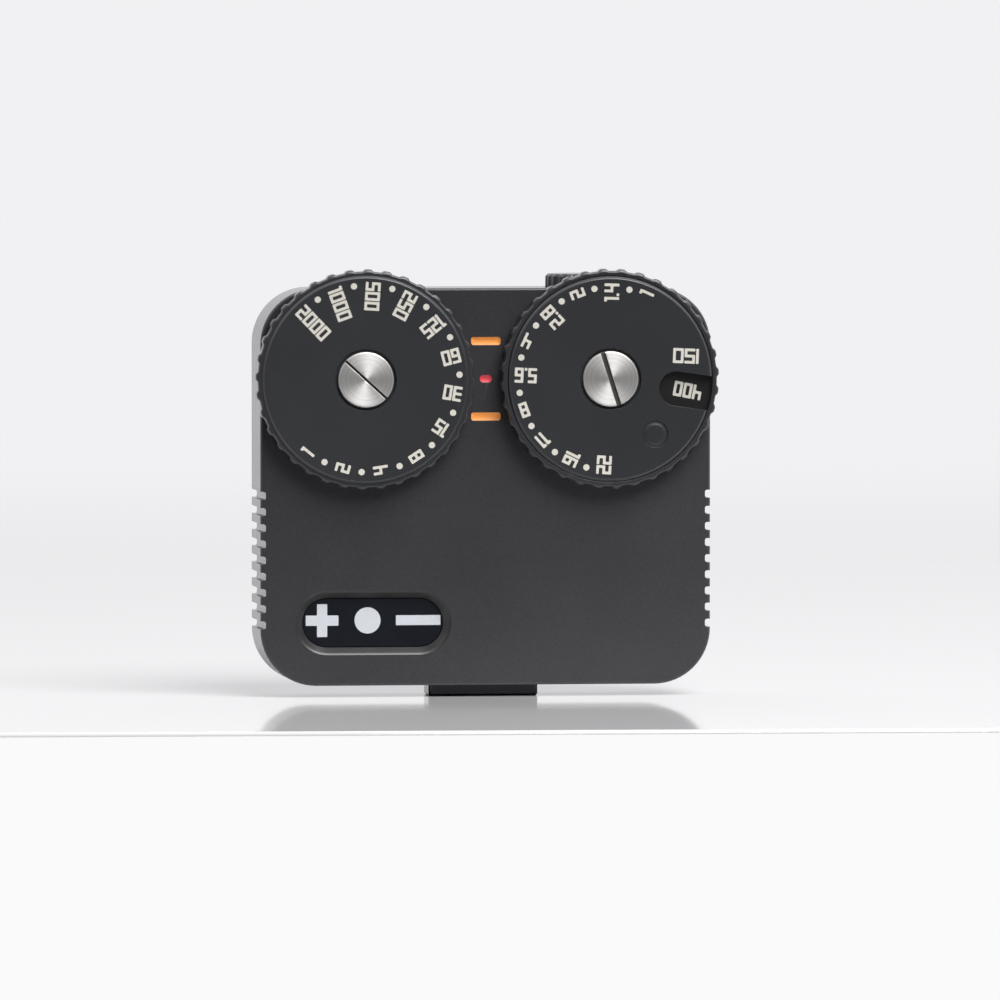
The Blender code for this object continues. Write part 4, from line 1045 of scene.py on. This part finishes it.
def aperture_wheel():
    """The knurled rim stands round a flat seat for the scale disc, with the spindle's socket."""
    seat_radius = scale_disc_radius + rim_gap
    profile = [
        (shank_hole_radius, dial_bottom, 0),
        *knurled_rim(),
        (seat_radius, dial_top - rim_drop, 0),
        (seat_radius, wheel_top, 0),
        (shank_hole_radius, wheel_top, 0),
    ]
    rings = turned(soften(profile, edge_softness), aperture_knurl_angle, depth=knurl_height)
    wheel = placed("aperture_wheel_turned", rings, aperture_axis, closed=True)
    return combine(wheel, underside_cuts(aperture_axis, wheel_top + overrun))


def under_disc(middles, normals):
    """The wheel's seat and the wall round it."""
    away = np.hypot(middles[:, 0] - dial_x, middles[:, 2] - dial_z)
    return (away < scale_disc_radius + rim_gap + hair) & (middles[:, 1] < hair - wheel_top)


# The seat under the scale disc, seen only through its window, is painted near black: painted shade for the
# window's depth.
wheel = refinish(surfaced(aperture_wheel(), dial_black, merged=False), painted_shade_satin, under_disc)
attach(wheel, "aperture_dial")
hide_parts("aperture_dial")

film_marks = scale_marks(
    film_speeds,
    film_speed_angle - film_speed_step * film_speed_in_use,
    film_speed_step,
    math.pi + film_speed_turn,
    wheel_top,
    film_speed_reach,
)
film_figures = surfaced(printed("film_speed_figures", film_marks, aperture_axis, figure_edge), warm_enamel)
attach(film_figures, "aperture_dial")


# The scale disc has the apertures, read outwards, one every 22.26 degrees. A radial window is milled
# through its rim, and a dimple takes the fingertip that holds it while the wheel turns.
scale_disc_chamfer = 0.24 * mm
window_width = 3.2 * mm
window_inner_end = 4.6 * mm
window_angle = math.radians(-8.5)
dimple_distance = 6.6 * mm
dimple_angle = math.radians(-50.9)
dimple_radius = 1.22 * mm
dimple_depth = 0.16 * mm
dimple_floor_share = 0.68
pole_part = 40
apertures = ("1", "1.4", "2", "2.8", "4", "5.6", "8", "11", "16", "22")
first_aperture_angle = 66.1
aperture_step = 22.26
aperture_scale_radius = 8.84 * mm
aperture_dot_distance = 8.46 * mm
aperture_scale_shift = (-0.13 * mm, 0)
iso_width = 0.99 * mm
iso_distance = 7.46 * mm
iso_angle = math.radians(16.4)
iso_turn = math.radians(-2.5)

disc_low = -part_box("aperture_scale_disc")[1].y


def rotation(angle):
    """A turn about the dial's axis, for rows of points."""
    cosine, sine = math.cos(angle), math.sin(angle)
    return np.array(((cosine, sine, 0), (-sine, cosine, 0), (0, 0, 1)))


def scale_disc():
    """A turned disc, less the window's slot and the dimple: a shallow seat whose floor falls off
    at 45 degrees to a groove all round. Its middle is a flat of the radius over pole_part."""
    profile = [
        (shank_hole_radius, disc_low),
        (scale_disc_radius, disc_low),
        (scale_disc_radius, dial_top - scale_disc_chamfer),
        (scale_disc_radius - scale_disc_chamfer, dial_top),
        (counterbore_radius, dial_top),
        (counterbore_radius, dial_top - counterbore_depth),
        (shank_hole_radius, dial_top - counterbore_depth),
    ]
    face = placed("aperture_scale_turned", turned(soften(profile, edge_softness)), aperture_axis, closed=True)
    reach = scale_disc_radius + overrun - window_inner_end
    slot = carry(pill(reach + window_width, window_width), mouth(disc_low - overrun, dial_top))
    slot += np.array((window_inner_end + (reach + window_width) / 2, 0, 0))
    window = placed("window", slot @ rotation(window_angle), aperture_axis)
    floor = dial_top - dimple_depth / 4
    flared = dimple_radius + 2 * edge_softness
    seat = [
        (dimple_radius / pole_part, floor),
        (dimple_floor_share * dimple_radius, floor),
        (dimple_radius, dial_top - dimple_depth),
        (dimple_radius, dial_top),
        (flared, dial_top + hair),
        (flared, dial_top + overrun),
    ]
    dimple = turned(soften(seat, edge_softness), steps=2)
    dimple += dimple_distance * np.array((math.cos(dimple_angle), math.sin(dimple_angle), 0))
    return combine(face, [window, placed("dimple", dimple, aperture_axis)])


scale = surfaced(scale_disc(), dial_black)
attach(scale, "aperture_scale")
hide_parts("aperture_scale_disc")


def iso_marks():
    """The word ISO beside the window, upright as the photograph has it."""
    row, _ = lettering("ISO", dial_top + hair / 2, dial_top + print_height, iso_width)
    u, v = iso_distance * math.cos(iso_angle), iso_distance * math.sin(iso_angle)
    return [moved(mark, u, v, math.pi + iso_turn) for mark in row]


aperture_marks = scale_marks(
    apertures,
    first_aperture_angle,
    aperture_step,
    0,
    dial_top,
    aperture_scale_radius,
    aperture_dot_distance,
)
aperture_place = (aperture_scale_shift[0] + dial_x, 0, aperture_scale_shift[1] + dial_z)
aperture_print = printed("aperture_figures", aperture_marks + iso_marks(), aperture_place, figure_edge)
aperture_figures = surfaced(aperture_print, warm_enamel)
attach(aperture_figures, "aperture_scale")


# The dials' screws are turned from stainless bar and faced off, so that fine rings run round the head
# and throw the light out in a fan of bright and dark. A coin or a broad blade fits their slot.
head_edge = 0.1 * mm
head_flat = 0.9
head_steps = 96
head_rings = 14
shutter_slot_width = 0.22 * mm
aperture_slot_width = 0.42 * mm
slot_depth = 0.28 * mm
slot_corner_part = 8
shutter_slot_angle = 137.5
aperture_slot_angle = 107.4
dial_screw_shank = 1.0 * mm
dial_screw_head = 0.6 * mm
turning_pitch = 0.12 * mm
turning_depth = 0.0012 * mm
turning_tone = (0.9, 1.1)
across_marks = 0.25


def turned_steel(name, colour, roughness, anisotropy):
    """Faced stainless steel. The UV map runs round the head in U and outwards in V: the gloss spreads
    across the turning marks, and rings of V at their pitch, drawn coarser than real, show as relief."""
    made, tree, shader = new_material(name)
    turned_uv = add_node(tree, "UVMap", uv_map="turned")
    parts = add_node(tree, "SeparateXYZ", {"Vector": turned_uv})
    pitch = {"W": parts.outputs["Y"], "Scale": mm / turning_pitch, "Detail": cloud_detail}
    ring = add_node(tree, "TexNoise", pitch, noise_dimensions="1D")
    shade = add_node(tree, "MapRange", (ring, *noise_range, *turning_tone))
    tint = add_node(tree, "VectorMath", {0: linear(colour)[:3], "Scale": shade}, operation="SCALE")
    bump = add_node(tree, "Bump", {"Height": ring, "Distance": turning_depth})
    tangent = add_node(tree, "Tangent", direction_type="UV_MAP", uv_map="turned")
    feed(shader, {"Base Color": tint, "Normal": bump, "Tangent": tangent})
    feed(shader, {"Metallic": 1.0, "Roughness": roughness})
    feed(shader, {"Anisotropic": anisotropy, "Anisotropic Rotation": across_marks})
    return made


def turned_map(piece, way, place):
    """A UV map of a turned piece: U is the angle round its axis in turns, kept whole within each face,
    and V is the distance from the axis plus the height, in millimetres."""
    mesh = piece.data
    corners = read(mesh.loops, "vertex_index", 1, np.int32).ravel()
    totals = read(mesh.polygons, "loop_total", 1, np.int32).ravel()
    flat = (read(mesh.vertices, "co") - np.array(place)) @ way.T
    middles = (read(mesh.polygons, "center") - np.array(place)) @ way.T
    middles = np.repeat(middles, totals, axis=0)
    own = np.arctan2(flat[corners, 1], flat[corners, 0])
    face = np.arctan2(middles[:, 1], middles[:, 0])
    near = face + (own - face + math.pi) % math.tau - math.pi
    out = np.linalg.norm(flat[corners, :2], axis=1) - flat[corners, 2]
    layer = mesh.uv_layers.get("turned") or mesh.uv_layers.new(name="turned")
    layer.data.foreach_set("uv", np.column_stack((near / math.tau, out / mm)).ravel())
    return piece


def slotted_screw(name, way, place, profile, slot, angle):
    """A screw turned to a profile of radius and height, its head faced in rings, less the slot,
    whose faces are painted darker for the shade that falls in it."""
    width, depth = slot
    head, top = profile[-1]
    facing = np.linspace(head, head / pole_part, head_rings)[1:]
    rows = np.concatenate((profile, np.column_stack((facing, np.full_like(facing, top)))))
    screw = placed(name, turned(rows, count=1, steps=head_steps), place, way)
    reach = 2 * max(row[0] for row in profile) + overrun
    bar = carry(rounded(reach, width, width / slot_corner_part, 2), mouth(top - depth, top))
    turn = rotation(math.radians(angle)) @ way
    combine(screw, [placed("slot", bar, place, turn)])

    def in_slot(middles, normals):
        flat = (middles - np.array(place)) @ turn.T
        across, height = np.abs(flat[:, 1]), flat[:, 2]
        return (across < width / 2 + hair) & (height > top - depth - hair) & (height < top - hair)

    turned_map(surfaced(screw, stainless, merged=False), way, place)
    return refinish(screw, slot_painted_shade, in_slot)


def pan_profile(radius, low, seat, top, shank, edge):
    """A shank with a flat-topped head on it, whose rim is broken by a small round edge."""
    corners = [
        (shank - edge, low),
        (shank, low + edge),
        (shank, seat),
        (radius, seat),
        (radius, top - edge),
        (radius - edge, top),
        (radius * head_flat, top),
    ]
    return soften(corners, edge / 3)


# The slots' milled steel is a little rougher than the faced heads, and painted darker for the shade that
# falls in the slots.
stainless = turned_steel("faced_stainless_steel", "CBCAC8", 0.55, 0.68)
slot_painted_shade = plain_material("steel_slot_painted_shade", "5E5C59", 1, 0.6, relief=0.003 * mm)
for name, body, place, width, angle in (
    ("shutter_dial_screw", "shutter_dial", shutter_axis, shutter_slot_width, shutter_slot_angle),
    ("aperture_dial_screw", "aperture_dial", aperture_axis, aperture_slot_width, aperture_slot_angle),
):
    low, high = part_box(name)
    radius, seat = (high.x - low.x) / 2, -dial_screw_head - low.y
    profile = pan_profile(radius, -high.y, seat, -low.y, dial_screw_shank, head_edge)
    screw = slotted_screw(name + "_turned", to_front, place, profile, (width, slot_depth), angle)
    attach(screw, body)
    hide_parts(name)


# The measuring button is a knurled cap on a stem, black anodised like the dials. Its top edge is
# turned off at 45 degrees, and the spring stands in the hollow under it.
button_knurls = 22
button_knurl_height = 0.14 * mm
button_knurl_steps = 12
button_edge = 0.25 * mm
button_cap_height = 1.5 * mm
button_hollow_radius = 2.6 * mm
button_hollow = 0.8 * mm
groove_depth = 0.25 * mm
stem_groove = 0.4 * mm


def measuring_button():
    """Stem, hollow, knurled skirt, chamfer and flat top in one profile, the knurl on the skirt alone."""
    low, top = button_high.z - button_cap_height, button_high.z
    hollow_top = low + button_hollow
    groove_top = body_high.z - side_wall - seat_gap
    groove_radius = stem_radius - groove_depth
    profile = [
        (stem_radius / 4, button_low.z, 0),
        (stem_radius, button_low.z, 0),
        (stem_radius, groove_top - stem_groove, 0),
        (groove_radius, groove_top - stem_groove, 0),
        (groove_radius, groove_top, 0),
        (stem_radius, groove_top, 0),
        (stem_radius, hollow_top, 0),
        (button_hollow_radius, hollow_top, 0),
        (button_hollow_radius, low, 0),
        (button_radius - button_knurl_height, low, 1),
        (button_radius, low + edge_softness, 1),
        (button_radius, top - button_edge, 1),
        (button_radius - button_edge, top, 0),
        (button_radius / 2, top, 0),
        (button_radius / pole_part, top, 0),
    ]
    knurl = {"count": button_knurls, "depth": button_knurl_height, "steps": button_knurl_steps}
    rings = turned(soften(profile, edge_softness), **knurl)
    return placed("measuring_button_turned", rings, (button_x, 0, 0), to_top)


button = surfaced(measuring_button(), dial_black)
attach(button, "measuring_button")
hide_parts("measuring_button")


# The button's spring is three turns of drawn steel wire round the stem, with the soft gloss that
# drawing leaves. It stands on the ledge under the cap, and is drawn at its length at rest.
spring_wire_radius = 0.16 * mm
spring_radius = 1.9 * mm
spring_turns = 3
spring_steps = 48
wire_points = 12
joints = {joint["name"]: joint for joint in frame["joints"]}
spring_low, spring_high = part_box("button_spring")


def button_spring():
    """A tube along a helix. Each ring lies square to the path, which climbs evenly with the angle."""
    share = np.linspace(0, 1, spring_turns * spring_steps + 1)
    angle = math.tau * spring_turns * share
    outwards = np.stack((np.cos(angle), np.sin(angle), 0 * angle), -1)
    climb = spring_high.z - spring_low.z - 2 * spring_wire_radius
    path = spring_radius * outwards + np.array((button_x, 0, spring_low.z + spring_wire_radius))
    path[:, 2] += climb * share
    along = np.gradient(path, axis=0)
    along /= np.linalg.norm(along, axis=1)[:, None]
    upwards = np.cross(along, outwards)
    turn = np.linspace(0, math.tau, wire_points, endpoint=False)[None, :, None]
    around = np.cos(turn) * outwards[:, None] + np.sin(turn) * upwards[:, None]
    return surface("button_spring_coil", path[:, None] + spring_wire_radius * around)


spring_steel = plain_material("drawn_spring_steel", "A9A9A6", 1, 0.35, speck_size=0.1 * mm)
spring = surfaced(button_spring(), spring_steel, sharp=60, merged=False)
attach(spring, "housing")
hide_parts("button_spring")
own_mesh(spring)


# The back cover is aluminium sheet let into the body's rebate, blasted and anodised with it. It has
# seats for four screws, two bosses for the foot and the stepped opening of the battery door.
cover_edge = 0.15 * mm
door_radius = 11.0 * mm
door_boss_radius = 10.2 * mm
opening_steps = 128
turning_gap = 0.12 * mm
door_flange = 0.5 * mm
cover_screw_radius = 1.3 * mm
cover_screw_head = 0.45 * mm
boss_radius = 1.8 * mm
foot_hole_radius = 1.05 * mm
lug_count = 3
lug_width = 4.0 * mm
lug_reach = 1.1 * mm
lug_margin = 0.35 * mm
lug_angle = math.radians(45)
lug_entry_turn = math.radians(-50)

to_back = np.array(((-1, 0, 0), (0, 0, 1), (0, 1, 0)))
door_place = Vector(joints["battery_door_turn"]["pos_m"])
foot_screws = (1, 2)
foot_places = [centre(f"shoe_foot_screw_{number}") for number in foot_screws]


def lugs(reach, width, low, high, first_angle):
    """Three bars from the door's middle outwards, evenly round it."""
    bar = carry(rounded(reach, width, lug_margin, 3), ((0, low), (0, high)))
    bar += np.array((reach / 2, 0, 0))
    angles = first_angle + np.arange(lug_count) * math.tau / lug_count
    return [placed("lug", bar @ rotation(angle), door_place) for angle in angles]


def back_cover():
    """The sheet with its bosses, less the screw seats, the door's opening and its lugs' entries."""
    low, high = -back_y, -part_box("back_cover")[0].y
    sheet_top = -back_y + cover_thickness - seat_gap
    inset = rebate_wall + seat_gap
    edge = [(inset + overrun, low), (inset + cover_edge, low), (inset, low + cover_edge), (inset, sheet_top)]
    outline = rounded(body_width, body_height, corner_radius)
    sheet = placed("back_cover_sheet", carry(outline, soften(edge, edge_softness)), (0, 0, body_middle))
    bosses = prisms("boss", circle(boss_radius), low + cover_thickness / 2, high, foot_places)
    combine(sheet, bosses, "UNION")
    through = (low - overrun, high + overrun)
    cuts = prisms("hole", circle(foot_hole_radius), *through, foot_places)
    for number in cover_screws:
        at = centre(f"cover_screw_{number}")
        seat = carry(circle(cover_screw_radius + seat_gap), mouth(-low - cover_screw_head - seat_gap, -low))
        cuts.append(placed("seat", seat, (at.x, 0, at.z), to_back))
        cuts += prisms("hole", circle(cover_hole_radius), *through, [at])
    step = circle(door_radius + turning_gap, opening_steps)
    step = carry(step, mouth(-low - door_flange - seat_gap, -low))
    cuts.append(placed("step", step, door_place, to_back))
    opening = circle(door_boss_radius + turning_gap, opening_steps)
    cuts.append(extruded("opening", opening, *through, door_place))
    combine(sheet, cuts)
    reach = door_boss_radius + lug_reach + lug_margin
    entry_width, entry_angle = lug_width + 2 * lug_margin, lug_angle + lug_entry_turn
    return combine(sheet, lugs(reach, entry_width, low + door_flange, high + overrun, entry_angle))


cover = surfaced(back_cover(), case_black)
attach(cover, "housing")
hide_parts("back_cover")


# The battery door is turned aluminium with a coin slot milled across it. A turn of 50 degrees brings
# its three lugs to their entries in the cover.
door_edge = 0.12 * mm
lug_thickness = 0.3 * mm
door_steps = 160
coin_slot_length = 13.0 * mm
coin_slot_width = 1.8 * mm
coin_slot_depth = 0.5 * mm


def battery_door():
    """Boss and flange in one profile, joined to its lugs, less the coin slot."""
    low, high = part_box("battery_door")
    profile = [
        (door_radius / pole_part, -high.y),
        (door_radius / 2, -high.y),
        (door_radius - door_edge, -high.y),
        (door_radius, door_edge - high.y),
        (door_radius, door_flange - high.y),
        (door_boss_radius, door_flange - high.y),
        (door_boss_radius, -low.y),
        (door_radius / pole_part, -low.y),
    ]
    rings = turned(soften(profile, edge_softness), count=1, steps=door_steps)
    door = placed("battery_door_turned", rings, door_place)
    reach, lug_low = door_boss_radius + lug_reach, -low.y - lug_thickness
    combine(door, lugs(reach, lug_width, lug_low, -low.y - hair, lug_angle), "UNION")
    slot = carry(pill(coin_slot_length, coin_slot_width), mouth(high.y - coin_slot_depth, high.y))
    return combine(door, [placed("coin_slot", slot, door_place, to_back)])


door = surfaced(battery_door(), case_black)
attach(door, "battery_door")
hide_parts("battery_door")


# The shoe foot is milled from one bar: a plate that slides under a camera shoe's rails, on a narrower
# neck. Two countersunk screws hold it, and it is blasted and anodised with the body.
foot_corner = 1.2 * mm
foot_edge = 0.2 * mm
neck_width = 12.3 * mm
neck_depth = 1.6 * mm
neck_corner = 0.6 * mm
foot_screw_radius = 1.75 * mm
foot_screw_sink = 0.12 * mm
foot_shank_radius = 0.95 * mm
sink_steps = 64


def countersink(radius, shank, depth, top):
    """A cutter for a countersunk screw: a cone at 45 degrees down to the shank's hole."""
    flare = 2 * edge_softness
    profile = [
        (shank, top - depth),
        (shank, top - foot_screw_sink - radius + shank),
        (radius, top - foot_screw_sink),
        (radius, top),
        (radius + flare, top + hair),
        (radius + flare, top + overrun),
    ]
    return turned(soften(profile, edge_softness), count=1, steps=sink_steps)


def shoe_foot():
    """The plate's profile carried round it, joined to the neck, less the screws' countersinks."""
    low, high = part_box("shoe_foot")
    middle = (low + high) / 2
    place = (middle.x, 0, middle.z)
    width, height = high.x - low.x, high.z - low.z
    seat = low.y + neck_depth
    edge = [
        (foot_edge + overrun, seat),
        (foot_edge, seat),
        (0, seat + foot_edge),
        (0, high.y - foot_edge),
        (foot_edge, high.y),
        (foot_edge + overrun, high.y),
    ]
    rings = carry(rounded(width, height, foot_corner), soften(edge, edge_softness))
    foot = placed("shoe_foot_milled", rings, place, to_back)
    neck = rounded(neck_width, height, neck_corner)
    combine(foot, [extruded("neck", neck, low.y, seat + foot_edge, place, to_back)], "UNION")
    radius, shank = foot_screw_radius + seat_gap, foot_shank_radius + seat_gap
    sink = countersink(radius, shank, high.y - low.y + overrun, high.y)
    return combine(foot, [placed("sink", sink, (at.x, 0, at.z), to_back) for at in foot_places])


foot = surfaced(shoe_foot(), case_black)
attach(foot, "housing")
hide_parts("shoe_foot")


# The small screws on the back are stainless too: four flat heads sunk in the cover and two
# countersunk ones in the foot, each slot where its driver left it.
small_slot = (0.35 * mm, 0.2 * mm)
small_edge = 0.08 * mm
cover_shank = 0.7 * mm
foot_slot = (0.45 * mm, 0.45 * mm)
foot_slot_angle = 107.4


def cover_screw_profile(low, high):
    """A pan head that fills its seat in the cover."""
    return pan_profile(cover_screw_radius, low, high - cover_screw_head, high, cover_shank, small_edge)


def foot_screw_profile(low, high):
    """A cone at 45 degrees under a flat head."""
    return [
        (foot_shank_radius / 2, low),
        (foot_shank_radius, low + small_edge),
        (foot_shank_radius, high - foot_screw_radius + foot_shank_radius),
        (foot_screw_radius, high - hair),
        (foot_screw_radius * head_flat, high),
    ]


for kind, numbers, profile, slot, slot_angle in (
    ("cover_screw", cover_screws, cover_screw_profile, small_slot, -shutter_slot_angle),
    ("shoe_foot_screw", foot_screws, foot_screw_profile, foot_slot, foot_slot_angle),
):
    for number in numbers:
        name = f"{kind}_{number}"
        low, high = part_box(name)
        place = ((low.x + high.x) / 2, 0, (low.z + high.z) / 2)
        rows = profile(low.y, high.y)
        screw = slotted_screw(name + "_turned", to_back, place, rows, slot, slot_angle * number)
        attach(screw, "housing")
        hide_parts(name)


# What works inside stays as the frame has it and gets its real finish. Steel, brass and the nickelled
# cell have a soft gloss in their own tone. The glass-fibre board's mask is glossy green over a faint
# weave, moulded nylon is matt black, and the lamps are clear red resin.
brass = plain_material("turned_brass", "D2AE63", 1, 0.32, speck_size=0.15 * mm)
board = plain_material("solder_masked_board", "0D4A2B", 0, 0.35, speck=0.1, relief=0.004 * mm)
nylon = plain_material("moulded_black_nylon", "1B1B1C", 0, 0.5, speck=0.1, relief=0.004 * mm)
lamp_resin = plain_material("red_lamp_resin", "B3241C", 0, 0.25, speck=0.02)
cell_can = plain_material("nickel_plated_cell_can", "BDBBB4", 1, 0.28, speck_size=0.3 * mm)
inner_finishes = (
    (spring_steel, ("shutter_spindle", "aperture_spindle", "shutter_wave_washer", "aperture_wave_washer")),
    (spring_steel, ("button_clip", "board_screw_1", "board_screw_2", "board_screw_3")),
    (brass, ("shutter_bush", "aperture_bush", "battery_contact_negative", "battery_contact_positive")),
    (board, ("circuit_board",)),
    (nylon, ("shutter_encoder", "aperture_encoder", "controller_chip", "light_sensor")),
    (nylon, ("measuring_switch", "switch_plunger", "battery_tray")),
    (lamp_resin, ("led_plus", "led_dot", "led_minus")),
    (cell_can, ("coin_cell",)),
)
for finish, nodes in inner_finishes:
    for node in nodes:
        part = frame["nodes"][node]
        part.data.materials.clear()
        part.data.materials.append(finish)
